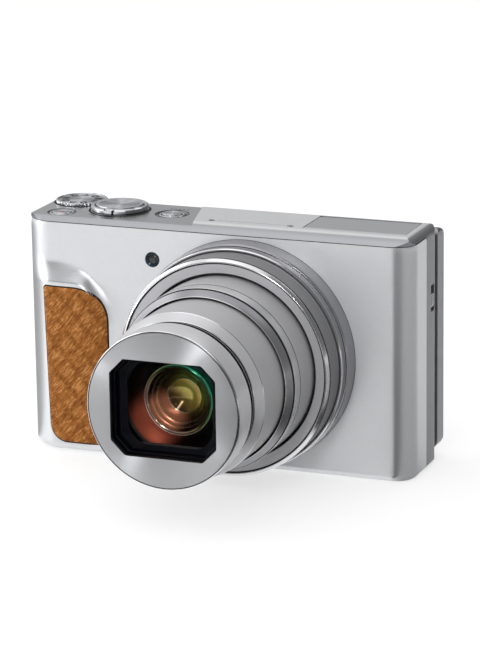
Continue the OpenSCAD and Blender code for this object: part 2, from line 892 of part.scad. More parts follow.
module barrel_2() {
  r = barrel2_r;
  bore = barrel3_r + barrel_gap;
  color(satin) turned([
    [r - barrel_wall, -tail2], [r, -tail2], [r, reach2 - 1.6], [bore, reach2],
    [bore, reach2 - 3.4], [r - barrel_wall, reach2 - 3.4]
  ]);
}

module barrel_3() {
  r = barrel3_r;
  nose = reach3 - cap_l;
  color(satin) turned([
    [r - barrel_wall, -tail3], [r, -tail3], [r, nose - 2.6], [cap_r - 0.4, nose],
    [glass_r + 0.4, nose], [glass_r + 0.4, cell_rear], [glass_r - 0.6, cell_rear],
    [glass_r - 0.6, cell_rear - 1], [r - barrel_wall, cell_rear - 1]
  ]);
}

module front_cap() {
  color(silver) difference() {
    turned([
      [cap_r - 0.9, reach3 - cap_l], [cap_r - 0.45, reach3 - cap_l],
      [cap_r - 0.45, reach3 - cap_l + 0.8], [cap_r + 0.1, reach3 - cap_l + 1],
      [cap_r + 0.1, reach3 - cap_l + 1.9], [cap_r - 0.45, reach3 - cap_l + 2.1],
      [cap_r - 0.45, reach3 - cap_l + 2.6], [cap_r, reach3 - cap_l + 2.8],
      [cap_r, reach3 - 0.35], [cap_r - 0.35, reach3], [5, reach3], [5, reach3 - 1],
      [cap_r - 0.9, reach3 - 1]
    ]);
    translate([lens_x, 0, lens_z]) prism_y(-reach3 - 1, -reach3 + 2)
      cut_rect(mouth_w, mouth_h, mouth_cut);
  }
}

module aperture_frame() {
  color(black) difference() {
    rod_y([lens_x, lens_z], cap_r - 1.05, -frame_front, -frame_rear);
    translate([lens_x, 0, lens_z]) {
      prism_y(-frame_front - 1, -frame_front + 1.2) cut_rect(mouth_w, mouth_h, mouth_cut);
      prism_y(-frame_front - 1, -frame_front + 2.6)
        cut_rect(mouth_w - 1.4, mouth_h - 1.8, mouth_cut);
      prism_y(-frame_front - 1, -frame_rear + 1) cut_rect(inner_w, inner_h, mouth_cut);
    }
  }
}

module front_element() {
  sag = 1.2;
  ball = (pow(glass_r, 2) + pow(sag, 2)) / (2 * sag);
  color([0.2, 0.3, 0.3, 0.6]) intersection() {
    rod_y([lens_x, lens_z], glass_r, -cell_front - 1, -cell_rear);
    translate([lens_x, -cell_front - sag + ball, lens_z]) sphere(ball);
  }
}

// A lens group on two sleeves that run on the guide rods.
module rod_carriage(y0, y1, r) {
  difference() {
    union() {
      rod_y([lens_x, lens_z], r + 1.4, y0, y1);
      for (s = [-1, 1]) {
        rod_y([lens_x + s * rod_out, lens_z], 1.9, y0, y1);
        block([lens_x + min(s * r, s * rod_out), y0 + 0.6, lens_z - 1.1],
              [lens_x + max(s * r, s * rod_out), y1 - 0.6, lens_z + 1.1]);
      }
    }
    for (s = [-1, 1])
      rod_y([lens_x + s * rod_out, lens_z], rod_r + pin_gap, y0 - 1, y1 + 1);
  }
}

module zoom_group() {
  color([0.15, 0.15, 0.16]) rod_carriage(4.4, 8.4, 8);
}

module focus_group() {
  color([0.15, 0.15, 0.16]) rod_carriage(13.2, 16, 6.5);
}

// A barrier blade: the part of a disc above a straight edge; turn 180 gives the lower one.
module blade(layer, turn) {
  front = -frame_rear + 0.25 + layer * (blade_t + 0.3);
  color(black) translate([lens_x, 0, lens_z]) rotate([0, turn, 0])
    prism_y(front, front + blade_t) intersection() {
      circle(blade_r);
      translate([-big / 2, inner_h / 2 + 0.1]) square([big, big]);
    }
}

module blade_upper_outer() {
  blade(0, 0);
}

module blade_lower_outer() {
  blade(0, 180);
}

module blade_upper_inner() {
  blade(1, 0);
}

module blade_lower_inner() {
  blade(1, 180);
}

// Zoom drive ------------------------------------------------------------------

module drive_ring() {
  color([0.85, 0.85, 0.8]) translate([lens_x, drive_y + drive_t, lens_z]) rotate([90, 0, 0])
    linear_extrude(drive_t) difference() {
      gear_outline(ring_teeth, ring_pitch_r);
      circle(barrel2_r + 0.8);
    }
}

module drive_gear() {
  // A gap of the gear meets the ring's nearest tooth.
  tooth = 180 + drive_angle + ring_phase() * ring_teeth / gear_teeth + 180 / gear_teeth;
  color([0.9, 0.85, 0.6]) union() {
    translate([drive_x, drive_y + drive_t, drive_z]) rotate([90, 0, 0])
      rotate(tooth) linear_extrude(drive_t)
        gear_outline(gear_teeth, gear_pitch_r);
    rod_y([drive_x, drive_z], shaft_r, drive_y - 5, drive_y + drive_t + 0.8);
  }
}

// How far the line of centres lies past the ring's nearest tooth.
function ring_phase() =
  drive_angle - floor(drive_angle / (360 / ring_teeth)) * 360 / ring_teeth;

// Controls on the deck --------------------------------------------------------

module mode_dial() {
  top = deck_z + mode_proud;
  notches = 36;
  color(satin) union() {
    difference() {
      rod_z(mode_pos, mode_r, top - mode_t, top);
      for (i = [0:notches - 1]) translate([mode_pos[0], mode_pos[1], 0]) rotate(i * 360 / notches)
        translate([mode_r + 0.08, 0, top - mode_t - 1]) cylinder(r = 0.24, h = mode_t + 2, $fn = 6);
      rod_z(mode_pos, mode_r - 1.5, top - 0.2, top + 1);
    }
    rod_z(mode_pos, mode_r - 1.9, top - 0.3, top - 0.05);
    rod_z(mode_pos, mode_shaft_r, deck_z - 2.6, top - 0.5);
  }
}

module zoom_lever() {
  floor_z = deck_z - ring_sink + 0.1;
  color(silver) difference() {
    union() {
      rod_z(zoom_pos, zoom_r, floor_z, ring_top);
      // Finger tab at the front of the ring
      translate([zoom_pos[0], zoom_pos[1], floor_z + 0.7]) rotate(4)
        translate([-1.1, -zoom_r - 0.7, 0]) cube([2.2, 2, ring_top - floor_z - 0.9]);
      rod_z(zoom_pos, zoom_hub_r, deck_z - 2.2, floor_z + 0.1);
    }
    rod_z(zoom_pos, shutter_r + gap, floor_z + ring_web, big);
    rod_z(zoom_pos, zoom_bore_r, 0, big);
  }
}

// A push button that stands on a switch: cap, then stem.
module shutter_button() {
  top = ring_top + 0.3;
  dish = 40;
  color(silver) difference() {
    union() {
      rod_z(zoom_pos, shutter_r, top - 1.1, top);
      rod_z(zoom_pos, shutter_stem_r, deck_z - 1.6, top - 1);
    }
    translate([zoom_pos[0], zoom_pos[1], top - 0.35 + dish]) sphere(dish);
  }
}

module deck_button(pos, r, proud) {
  union() {
    rod_z(pos, r, deck_z - 1, deck_z + proud);
    rod_z(pos, button_stem_r, deck_z - 1.8, deck_z - 0.9);
  }
}

module power_button() {
  color(silver) deck_button(power_pos, power_r, 0.35);
}

module movie_button() {
  color(silver) deck_button(movie_pos, movie_r, 0.2);
}

// Flash -----------------------------------------------------------------------

module flash_head() {
  x0 = flash_x - flash_w / 2;
  x1 = flash_x + flash_w / 2;
  inner_x0 = x0 + 3.4;
  under = flash_top - flash_lid_t;
  color(silver) difference() {
    union() {
      prism_x(x0, x1) polygon([
        [flash_front, flash_top - 0.5], [flash_front + 0.5, flash_top],
        [flash_axis_y, flash_top], [flash_axis_y, under], [flash_front, under]
      ]);
      rod_x([flash_axis_y, flash_axis_z], flash_end_r, x0, x1);
      prism_x(inner_x0, x1 - 1) polygon([
        [flash_front + 1.4, under + 0.2], [flash_front + 1.4, under - 0.4],
        [flash_front + 7.6, flash_top - 5.4], [flash_front + 10.4, flash_top - 5.4],
        [flash_front + 11.4, under + 0.2]
      ]);
    }
    rod_x([flash_axis_y, flash_axis_z], hinge_r + pin_gap, x0 - 1, x1 + 1);
    flash_window_form(0.1, inner_x0 + 1.2, x1 - 2.2);
  }
}

// The window on the head's underside, which looks forward when the head stands up.
module flash_window_form(grow, x0, x1) {
  prism_x(x0 - grow, x1 + grow) translate([flash_front + 4.6, flash_top - 3.8])
    rotate(-38.9) translate([-2.9 - grow, -1 - grow]) square([5.8 + 2 * grow, 1.6 + 2 * grow]);
}

module flash_window() {
  color([0.95, 0.95, 0.9]) intersection() {
    flash_window_form(0, flash_x - flash_w / 2 + 4.6, flash_x + flash_w / 2 - 2.2);
    block([-big, -big, 0], [big, big, flash_top - flash_lid_t]);
  }
}

module flash_switch() {
  color(satin) union() {
    block([half_w - wall - 0.9, lever_y - lever_w / 2, lever_z0],
          [half_w - 0.1, lever_y + lever_w / 2, lever_z0 + lever_h]);
    block([half_w - wall - 0.9, lever_y - lever_w / 2 - 0.7, lever_z0 - 1],
          [half_w - wall - 0.2, lever_y + lever_w / 2 + 0.5, lever_z0 + lever_h + 1]);
    for (i = [0:3]) block([half_w - 0.3, lever_y - lever_w / 2 + 0.4, lever_z0 + 0.5 + i * 0.7],
                          [half_w + 0.1, lever_y + lever_w / 2 - 0.4, lever_z0 + 0.8 + i * 0.7]);
  }
}

// Screen ----------------------------------------------------------------------

module screen_outline() {
  soft_rect([screen_x - screen_w / 2, screen_axis_z - screen_h],
            [screen_x + screen_w / 2, screen_axis_z + screen_t / 2 - 0.02], 3, 3, 1.4, 1.4);
}

module screen_case() {
  rear = screen_y + screen_t;
  side_r = 1.2;
  color(satin) difference() {
    intersection() {
      prism_y(screen_y, rear) screen_outline();
      prism_x(-big, big) union() {
        soft_rect([screen_y, screen_axis_z - screen_h], [rear, screen_axis_z], side_r, side_r,
                  0.01, 0.01);
        translate([screen_axis_y, screen_axis_z]) circle(screen_t / 2);
      }
    }
    prism_y(rear - pane_t, rear + 1) pane_outline(-0.1);
    for (x = knuckle_x) block([x - knuckle_w / 2 - 0.3, 0, screen_axis_z - knuckle_room],
                              [x + knuckle_w / 2 + 0.3, big, big]);
    for (x = knuckle_x) rod_x([screen_axis_y, screen_axis_z], screen_pin_r + pin_gap,
                              x - knuckle_w / 2 - 4.1, x + knuckle_w / 2 + 4.1);
  }
}

module pane_outline(inset) {
  low = screen_axis_z - screen_h + 2.2;
  high = screen_axis_z - knuckle_room - 1;
  soft_rect([screen_x - screen_w / 2 + 1.8 + inset, low + inset],
            [screen_x + screen_w / 2 - 1.8 - inset, high - inset], 1.5, 1.5, 1.5, 1.5);
}

module screen_pane() {
  color(black) prism_y(screen_y + screen_t - pane_t, screen_y + screen_t) pane_outline(0);
}

// Rear controls ---------------------------------------------------------------

module control_dial() {
  y1 = body_d + 1;
  ridges = 40;
  color(satin) difference() {
    union() {
      rod_y(wheel_pos, wheel_r, body_d - 0.7, y1);
      rod_y(wheel_pos, wheel_hub_r, body_d - wall - 0.6, body_d - 0.6);
    }
    rod_y(wheel_pos, set_r + gap, 0, big);
    for (i = [0:ridges - 1]) translate([wheel_pos[0], 0, wheel_pos[1]])
      rotate([0, i * 360 / ridges, 0]) translate([wheel_r + 0.05, y1 - 0.6, 0])
        rotate([-90, 0, 0]) cylinder(r = 0.25, h = 2, $fn = 6);
  }
}

module set_button() {
  color(silver) rod_y(wheel_pos, set_r, body_d - wall - 0.4, body_d + 0.8);
}

module rear_key(pos) {
  union() {
    rod_y(pos, key_r, body_d - wall - 0.3, body_d + key_proud);
    rod_y(pos, key_r + 0.5, body_d - wall - 0.7, body_d - wall - gap);
  }
}

module playback_button() {
  color(satin) rear_key(playback_pos);
}

module menu_button() {
  color(satin) rear_key(menu_pos);
}

module wireless_button() {
  color(satin) rear_key(wireless_pos);
}

// Doors -----------------------------------------------------------------------

module battery_door() {
  axis_z = door_z + 0.65;
  color(silver) difference() {
    union() {
      block([door_x0, door_y0, door_z], [door_x1, door_axis_y, door_z + door_t]);
      rod_x([door_axis_y, axis_z], 0.65, door_x0, door_x1);
    }
    rod_x([door_axis_y, axis_z], door_pin_r + pin_gap, door_x0 - 1, door_x1 + 1);
    block([latch_x - latch_w / 2 - gap, latch_y, -1],
          [latch_x + latch_w / 2 + latch_run + gap, latch_y + latch_d, door_z + 0.8]);
  }
}

module door_latch() {
  color(satin) difference() {
    block([latch_x - latch_w / 2, latch_y + gap, door_z + 0.05],
          [latch_x + latch_w / 2, latch_y + latch_d - gap, door_z + 0.7]);
    for (i = [-2:2]) block([latch_x + i - 0.2, latch_y + 0.7, 0],
                           [latch_x + i + 0.2, latch_y + latch_d - 0.7, door_z + 0.25]);
  }
}

module port_door() {
  x = port_axis_x - port_t / 2;
  color(silver) difference() {
    union() {
      block([x, port_axis_y, port_z0], [x + port_t, port_y0 + port_w, port_z0 + port_h]);
      rod_z([port_axis_x, port_axis_y], port_t / 2, port_z0, port_z0 + port_h);
      // Trunnions in the front shell
      rod_z([port_axis_x, port_axis_y], 0.25, port_z0 - 0.5, port_z0 + port_h + 0.5);
    }
    block([x - 1, port_y0 + port_w - 1.6, port_z0 + port_h / 2 - 2],
          [x + 0.35, port_y0 + port_w - 0.8, port_z0 + port_h / 2 + 2]);
  }
}

placed() front_shell();
placed() rear_shell();
placed() top_cover();
placed() grip_pad();
placed() lamp_window();
placed() lens_bezel();
placed() lens_housing();
placed() chassis_plate();
placed() tripod_socket();
placed() image_sensor();
placed() main_board();
placed() battery();
placed() memory_card();
placed() battery_tray();
placed() battery_contacts();
placed() hdmi_socket();
placed() usb_socket();
placed() speaker();
placed() strap_bar();
placed() case_screws();
placed() top_board();
placed() rear_board();
placed() screen_bracket();
placed() hinge_pins();
placed() guide_rods();
placed() zoom_motor();
placed() flash_capacitor();
placed() barrel_1();
placed() barrel_2();
placed() barrel_3();
placed() front_cap();
placed() aperture_frame();
placed() front_element();
placed() zoom_group();
placed() focus_group();
placed() blade_upper_outer();
placed() blade_upper_inner();
placed() blade_lower_outer();
placed() blade_lower_inner();
placed() drive_ring();
placed() drive_gear();
placed() mode_dial();
placed() zoom_lever();
placed() shutter_button();
placed() power_button();
placed() movie_button();
placed() flash_head();
placed() flash_window();
placed() flash_switch();
placed() screen_case();
placed() screen_pane();
placed() control_dial();
placed() set_button();
placed() playback_button();
placed() menu_button();
placed() wireless_button();
placed() battery_door();
placed() door_latch();
placed() port_door();
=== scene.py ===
"""Compact zoom camera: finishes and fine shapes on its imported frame."""

import json
import logging
import math
from dataclasses import dataclass, field
from enum import Enum
from typing import Sequence

import bmesh
import bpy
from bpy.types import Material, Node, NodeSocket, NodeTree, Object
from mathutils import Matrix, Quaternion, Vector

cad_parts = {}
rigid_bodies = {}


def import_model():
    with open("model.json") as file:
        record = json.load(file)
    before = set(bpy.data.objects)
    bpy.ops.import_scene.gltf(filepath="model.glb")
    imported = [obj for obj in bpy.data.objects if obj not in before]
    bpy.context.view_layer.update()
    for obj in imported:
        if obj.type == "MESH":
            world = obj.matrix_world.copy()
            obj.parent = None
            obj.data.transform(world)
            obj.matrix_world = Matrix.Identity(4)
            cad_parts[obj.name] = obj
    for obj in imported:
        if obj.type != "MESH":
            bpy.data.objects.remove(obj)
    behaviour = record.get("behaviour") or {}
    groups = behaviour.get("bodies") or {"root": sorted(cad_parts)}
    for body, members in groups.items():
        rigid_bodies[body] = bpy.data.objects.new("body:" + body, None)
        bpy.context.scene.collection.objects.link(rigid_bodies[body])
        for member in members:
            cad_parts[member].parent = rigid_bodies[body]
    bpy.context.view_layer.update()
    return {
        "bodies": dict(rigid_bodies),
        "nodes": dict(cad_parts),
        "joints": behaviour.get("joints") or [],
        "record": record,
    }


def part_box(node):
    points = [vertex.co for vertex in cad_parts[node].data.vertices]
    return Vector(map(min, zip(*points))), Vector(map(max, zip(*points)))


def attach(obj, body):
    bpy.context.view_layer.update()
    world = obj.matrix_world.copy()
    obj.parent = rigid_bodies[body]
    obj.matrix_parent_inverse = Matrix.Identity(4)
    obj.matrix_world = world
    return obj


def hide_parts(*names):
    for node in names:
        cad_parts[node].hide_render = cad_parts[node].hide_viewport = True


MM = 0.001
LENS_STEPS = 256  # points around each ring of the lens
PRINT = 0.03  # thickness of a printed mark in millimetres
LOG = logging.getLogger("camera")
Point = tuple[float, float, float]
Colour = tuple[float, float, float, float]


class Facing(Enum):
    """The way a turned piece points, with the two directions across it."""

    FRONT = ((0, -1, 0), (1, 0, 0), (0, 0, 1))
    REAR = ((0, 1, 0), (-1, 0, 0), (0, 0, 1))
    UP = ((0, 0, 1), (1, 0, 0), (0, 1, 0))
    DOWN = ((0, 0, -1), (1, 0, 0), (0, -1, 0))


class Mark(Enum):
    """The plain printed marks of the mode dial."""

    BARS = 0
    RING = 1
    TRIANGLE = 2
    SQUARE = 3


def grey(value: float, warm: float = 0.0) -> Colour:
    """A near neutral colour.

    Args:
        value: The brightness, 0 to 1.
        warm: How far red rises and blue falls.

    Returns:
        The colour with full alpha.
    """
    return (value + warm, value, value - warm, 1.0)


def soft_step(value: float, start: float, end: float) -> float:
    """A smooth ramp from 0 at start to 1 at end."""
    t = min(max((value - start) / (end - start), 0.0), 1.0)
    return t * t * (3 - 2 * t)


def eased_ramp(value: float, top: float, foot: float) -> float:
    """A straight fall from 1 to 0 over the unit length with eased ends.

    Args:
        value: How far along the fall, 0 to 1.
        top: Softness of the upper bend.
        foot: Softness of the lower bend.

    Returns:
        The height, about 1 before the fall and 0 after it.
    """

    def bend(x: float, softness: float) -> float:
        """A hinge at zero with a rounded knee."""
        return x if x > 30 * softness else softness * math.log1p(math.exp(x / softness))

    return min(max(1 - (bend(value, top) - bend(value - 1, foot)), 0.0), 1.0)


# Shader nodes ----------------------------------------------------------------


class Tree:
    """Adds and joins the nodes of one material or node group."""

    def __init__(self, tree: NodeTree) -> None:
        """Starts on an empty tree."""
        self.tree = tree

    def put(self, socket: NodeSocket, value: object) -> None:
        """Joins a socket to another one, or sets its value.

        Args:
            socket: The input to feed.
            value: Another socket, or a plain value.
        """
        if isinstance(value, NodeSocket):
            self.tree.links.new(value, socket)
        else:
            socket.default_value = value

    def add(self, kind: str, settings: dict | None = None, **inputs: object) -> Node:
        """Adds a node.

        Args:
            kind: The node's type without its ShaderNode prefix.
            settings: Properties of the node itself.
            inputs: Values or sockets for its inputs, with _ for a space.

        Returns:
            The new node.
        """
        node = self.tree.nodes.new("ShaderNode" + kind)
        for name, value in (settings or {}).items():
            setattr(node, name, value)
        self.feed(node, **inputs)
        return node

    def feed(self, node: Node, **inputs: object) -> None:
        """Sets or joins a node's inputs.

        Args:
            node: The node.
            inputs: Values or sockets for its inputs, with _ for a space.
        """
        for name, value in inputs.items():
            self.put(node.inputs[name.replace("_", " ")], value)

    def math(self, operation: str, *values: object) -> NodeSocket:
        """The result of a Math node.

        Args:
            operation: What the node does.
            values: Values or sockets to work on.

        Returns:
            The result.
        """
        node = self.add("Math", {"operation": operation})
        for socket, value in zip(node.inputs, values):
            self.put(socket, value)
        return node.outputs[0]

    def vector(self, operation: str, *values: object) -> Node:
        """A Vector Math node.

        Args:
            operation: What the node does.
            values: Values or sockets to work on.

        Returns:
            The node.
        """
        node = self.add("VectorMath", {"operation": operation})
        for socket, value in zip(node.inputs, values):
            self.put(socket, value)
        return node

    def blend(self, factor: object, low: object, high: object) -> NodeSocket:
        """A colour between low and high.

        Args:
            factor: 0 for low, 1 for high.
            low: The first colour.
            high: The second colour.

        Returns:
            The mixed colour.
        """
        node = self.add("Mix", {"data_type": "RGBA"})
        for socket, value in zip((node.inputs[0], node.inputs[6], node.inputs[7]),
                                 (factor, low, high)):
            self.put(socket, value)
        return node.outputs[2]

    def scale(self, colour: object, factor: object) -> NodeSocket:
        """A colour made brighter or darker by a factor.

        Args:
            colour: The colour.
            factor: What multiplies it.

        Returns:
            The new colour.
        """
        node = self.add("Mix", {"data_type": "RGBA", "blend_type": "MULTIPLY"})
        for socket, value in zip((node.inputs[0], node.inputs[6]), (1.0, colour)):
            self.put(socket, value)
        joined = self.add("CombineXYZ", X=factor, Y=factor, Z=factor)
        self.put(node.inputs[7], joined.outputs[0])
        return node.outputs[2]

    def ramp(self, factor: object, stops: Sequence[tuple[float, Colour]]) -> NodeSocket:
        """A colour read from a ramp of stops.

        Args:
            factor: Where the ramp is read.
            stops: Place and colour of each stop.

        Returns:
            The colour.
        """
        node = self.add("ValToRGB", Fac=factor)
        band = node.color_ramp
        while len(band.elements) < len(stops):
            band.elements.new(0.5)
        for element, (place, colour) in zip(band.elements, stops):
            element.position = place
            element.color = colour
        return node.outputs[0]

    def smooth(self, value: object, start: float, end: float, low: float = 0.0,
               high: float = 1.0) -> NodeSocket:
        """A smooth ramp of a value.

        Args:
            value: What the ramp follows.
            start: The value at which the ramp begins.
            end: The value at which it ends.
            low: The result before the ramp.
            high: The result after it.

        Returns:
            The ramp's result.
        """
        node = self.add("MapRange", {"interpolation_type": "SMOOTHSTEP"}, Value=value,
                        From_Min=start, From_Max=end, To_Min=low, To_Max=high)
        return node.outputs[0]

    def bump(self, height: object, strength: float, depth: float,
             normal: object = None) -> NodeSocket:
        """A normal raised by a height.

        Args:
            height: The height to follow.
            strength: How strongly it shows.
            depth: Its depth in millimetres.
            normal: The normal below it, if any.

        Returns:
            The raised normal.
        """
        node = self.add("Bump", Strength=strength, Distance=depth * MM, Height=height)
        if normal is not None:
            self.put(node.inputs["Normal"], normal)
        return node.outputs[0]


class Effects:
    """Surface effects that several finishes share, as node groups made once."""

    def __init__(self) -> None:
        """Starts with no group."""
        self.made: dict[str, NodeTree] = {}

    def begin(self, name: str, inputs: Sequence[tuple[str, str, object]],
              outputs: Sequence[tuple[str, str]]) -> tuple[Tree, Node, Node]:
        """Starts a node group.

        Args:
            name: The group's name.
            inputs: Name, kind and default of each input.
            outputs: Name and kind of each output.

        Returns:
            The group's tree, and the nodes of its inputs and outputs.
        """
        tree = bpy.data.node_groups.new(name, "ShaderNodeTree")
        for label, kind, value in inputs:
            socket = tree.interface.new_socket(label, in_out="INPUT",
                                               socket_type="NodeSocket" + kind)
            socket.default_value = value
        for label, kind in outputs:
            tree.interface.new_socket(label, in_out="OUTPUT", socket_type="NodeSocket" + kind)
        self.made[name] = tree
        return Tree(tree), tree.nodes.new("NodeGroupInput"), tree.nodes.new("NodeGroupOutput")

    def use(self, nodes: Tree, tree: NodeTree, **inputs: object) -> Node:
        """Places a group in a material with its own values.

        Args:
            nodes: The material's tree.
            tree: The group.
            inputs: Values or sockets for its inputs, with _ for a space.

        Returns:
            The group's node.
        """
        node = nodes.tree.nodes.new("ShaderNodeGroup")
        node.node_tree = tree
        nodes.feed(node, **inputs)
        return node

    def flake(self) -> NodeTree:
        """Fine flakes in a metallic lacquer: a brightness factor and a height.

        Returns:
            The group.
        """
        if "flake" not in self.made:
            t, start, end = self.begin("flake", [("Scale", "Float", 9000.0), ("Amount", "Float", 0.08)],
                                       [("Tint", "Float"), ("Height", "Float")])
            where = t.add("TexCoord").outputs["Object"]
            fine = t.add("TexVoronoi", Vector=where, Scale=start.outputs["Scale"])
            cloud = t.add("TexNoise", Vector=where, Scale=220.0, Detail=3.0)
            speck = t.math("SUBTRACT", t.add("SeparateColor", Color=fine.outputs["Color"])
                           .outputs[0], 0.5)
            shade = t.math("SUBTRACT", cloud.outputs[0], 0.5)
            both = t.math("ADD", speck, t.math("MULTIPLY", shade, 0.6))
            t.put(end.inputs["Tint"], t.math("MULTIPLY_ADD", both, start.outputs["Amount"], 1.0))
            t.put(end.inputs["Height"], speck)
        return self.made["flake"]

    def handling(self) -> NodeTree:
        """Cloudy marks of handling: a roughness that varies a little.

        Returns:
            The group.
        """
        if "handling" not in self.made:
            t, start, end = self.begin("handling", [("Roughness", "Float", 0.4), ("Spread", "Float", 0.1)],
                                       [("Roughness", "Float")])
            where = t.add("TexCoord").outputs["Object"]
            wide = t.add("TexNoise", Vector=where, Scale=45.0, Detail=4.0, Distortion=0.6)
            change = t.math("MULTIPLY", t.math("SUBTRACT", wide.outputs[0], 0.5),
                            start.outputs["Spread"])
            t.put(end.inputs["Roughness"], t.math("ADD", start.outputs["Roughness"], change))
        return self.made["handling"]

    def edges(self) -> NodeTree:
        """Rounded edges for light, and a mask of lighter rims: patchy wear and a painted edge highlight.

        Returns:
            The group.
        """
        if "edges" not in self.made:
            t, start, end = self.begin("edges", [("Radius", "Float", 0.12 * MM)],
                                       [("Normal", "Vector"), ("WearAndHighlight", "Float")])
            rounded = t.add("Bevel", {"samples": 4}, Radius=start.outputs["Radius"])
            plain = t.add("NewGeometry").outputs["Normal"]
            turn = t.vector("DOT_PRODUCT", rounded.outputs[0], plain).outputs["Value"]
            rim = t.math("SUBTRACT", 1.0, turn)
            cloud = t.add("TexNoise", Vector=t.add("TexCoord").outputs["Object"], Scale=900.0,
                          Detail=3.0)
            mask = t.math("MULTIPLY", t.math("MULTIPLY", rim, 6.0), cloud.outputs[0])
            t.put(end.inputs["Normal"], rounded.outputs[0])
            t.put(end.inputs["WearAndHighlight"], t.math("MINIMUM", mask, 1.0))
        return self.made["edges"]

    def grooves(self) -> NodeTree:
        """The fine rings that a lathe leaves: a height and a brightness factor.

        Returns:
            The group.
        """
        if "grooves" not in self.made:
            t, start, end = self.begin("grooves",
                                       [("Across", "Vector", (1.0, 0.0, 1.0)),
                                        ("Scale", "Float", 9000.0),
                                        ("Amount", "Float", 0.15)],
                                       [("Height", "Float"), ("Tint", "Float")])
            where = t.add("TexCoord").outputs["Object"]
            across = t.vector("MULTIPLY", where, start.outputs["Across"])
            radius = t.vector("LENGTH", across.outputs[0]).outputs["Value"]
            along = t.vector("DOT_PRODUCT", where,
                             t.vector("SUBTRACT", (1.0, 1.0, 1.0), start.outputs["Across"])
                             .outputs[0]).outputs["Value"]
            place = t.math("ADD", radius, t.math("MULTIPLY", along, 0.83))
            ring = t.add("TexNoise", {"noise_dimensions": "1D"}, W=place,
                         Scale=start.outputs["Scale"], Detail=2.0)
            level = t.math("SUBTRACT", ring.outputs[0], 0.5)
            t.put(end.inputs["Height"], level)
            t.put(end.inputs["Tint"], t.math("MULTIPLY_ADD", level, start.outputs["Amount"], 1.0))
        return self.made["grooves"]

    def grain(self) -> NodeTree:
        """The fine grain of moulded plastic, and a little dust in patches.

        Returns:
            The group.
        """
        if "grain" not in self.made:
            t, start, end = self.begin("grain", [("Scale", "Float", 5000.0)],
                                       [("Height", "Float"), ("Dust", "Float")])
            where = t.add("TexCoord").outputs["Object"]
            fine = t.add("TexNoise", Vector=where, Scale=start.outputs["Scale"], Detail=4.0)
            dust = t.add("TexNoise", Vector=where, Scale=160.0, Detail=5.0)
            mask = t.math("SMOOTH_MAX", t.math("SUBTRACT", dust.outputs[0], 0.55), 0.0, 0.08)
            t.put(end.inputs["Height"], fine.outputs[0])
            t.put(end.inputs["Dust"], mask)
        return self.made["grain"]


@dataclass(frozen=True)
class Finish:
    """What every finish has: a name, a colour, and the record's slot for it."""

    name: str
    colour: Colour
    slot: str

    def start(self) -> tuple[Tree, Node, Material]:
        """A new material with its Principled shader.

        Returns:
            The tree, the shader node and the material.
        """
        material = bpy.data.materials.new(self.name)
        material.use_nodes = True
        material.diffuse_color = self.colour
        nodes = Tree(material.node_tree)
        shader = material.node_tree.nodes["Principled BSDF"]
        shader.inputs["Base Color"].default_value = self.colour
        return nodes, shader, material

    def material(self, effects: Effects) -> Material:
        """The finished material, made on its first use."""
        return bpy.data.materials.get(self.name) or self.make(effects)

    def make(self, effects: Effects) -> Material:
        """Makes the material; each kind of finish has its own way."""
        raise NotImplementedError(self.name)


@dataclass(frozen=True)
class Lacquer(Finish):
    """Flaked lacquer, lighter at its edges with wear and a painted edge highlight; flat is how metallic
    its front-facing parts are.
    """

    roughness: float = 0.4
    metallic: float = 0.85
    flake: float = 0.09
    coat: float = 0.15
    edge: float = 0.12
    flat: float | None = None
    front_on: tuple[float, float] = (0.965, 0.998)

    def base(self, t: Tree) -> object:
        """The lacquer's colour, the same everywhere."""
        return self.colour

    def make(self, effects: Effects) -> Material:
        """Makes the material.

        Args:
            effects: The shared node groups.

        Returns:
            The material.
        """
        t, shader, material = self.start()
        flake = effects.use(t, effects.flake(), Amount=self.flake)
        edges = effects.use(t, effects.edges(), Radius=self.edge * MM)
        rough = effects.use(t, effects.handling(), Roughness=self.roughness, Spread=0.07)
        tinted = t.scale(self.base(t), flake.outputs["Tint"])
        # lighter rims: patchy wear and a painted edge highlight
        rim_wear_and_highlight = t.math("MULTIPLY", edges.outputs["WearAndHighlight"], 0.35)
        t.put(shader.inputs["Base Color"], t.blend(rim_wear_and_highlight, tinted, grey(0.9)))
        t.put(shader.inputs["Roughness"], rough.outputs[0])
        t.put(shader.inputs["Normal"], t.bump(flake.outputs["Height"], 0.12, 0.01,
                                              edges.outputs["Normal"]))
        shader.inputs["Metallic"].default_value = self.metallic
        if self.flat is not None:
            way = t.add("SeparateXYZ", Vector=t.add("NewGeometry").outputs["Normal"])
            faced = t.math("MULTIPLY", way.outputs[1], -1.0)
            t.put(shader.inputs["Metallic"],
                  t.smooth(faced, *self.front_on, self.metallic, self.flat))
        t.feed(shader, Coat_Weight=self.coat, Coat_Roughness=0.25)
        return material


@dataclass(frozen=True)
class StepShadedLacquer(Lacquer):
    """Lacquer with painted light and shade: on faces that look up, a darker lower deck and a paler raised
    part; its colour, darker, is the rim's and that of faces that do not look up.
    """

    # painted shade on the lower deck, painted light on the raised part
    lower: Colour = (0.42, 0.425, 0.44, 1.0)
    raised: Colour = (0.84, 0.845, 0.86, 1.0)
    step: tuple[float, float] = (64.7, 65.0)
    level: tuple[float, float] = (0.90, 0.985)

    def base(self, t: Tree) -> object:
        """The colour with painted light and shade, from the rim to the two levels of the deck.

        Args:
            t: The material's tree.

        Returns:
            The colour.
        """
        place = t.add("SeparateXYZ", Vector=t.add("TexCoord").outputs["Object"])
        way = t.add("SeparateXYZ", Vector=t.add("NewGeometry").outputs["Normal"])
        # painted shade by facing: faces that do not look up take the darker rim colour
        high = t.smooth(place.outputs[2], self.step[0] * MM, self.step[1] * MM)
        flat = t.smooth(way.outputs[2], *self.level)
        return t.blend(flat, self.colour, t.blend(high, self.lower, self.raised))


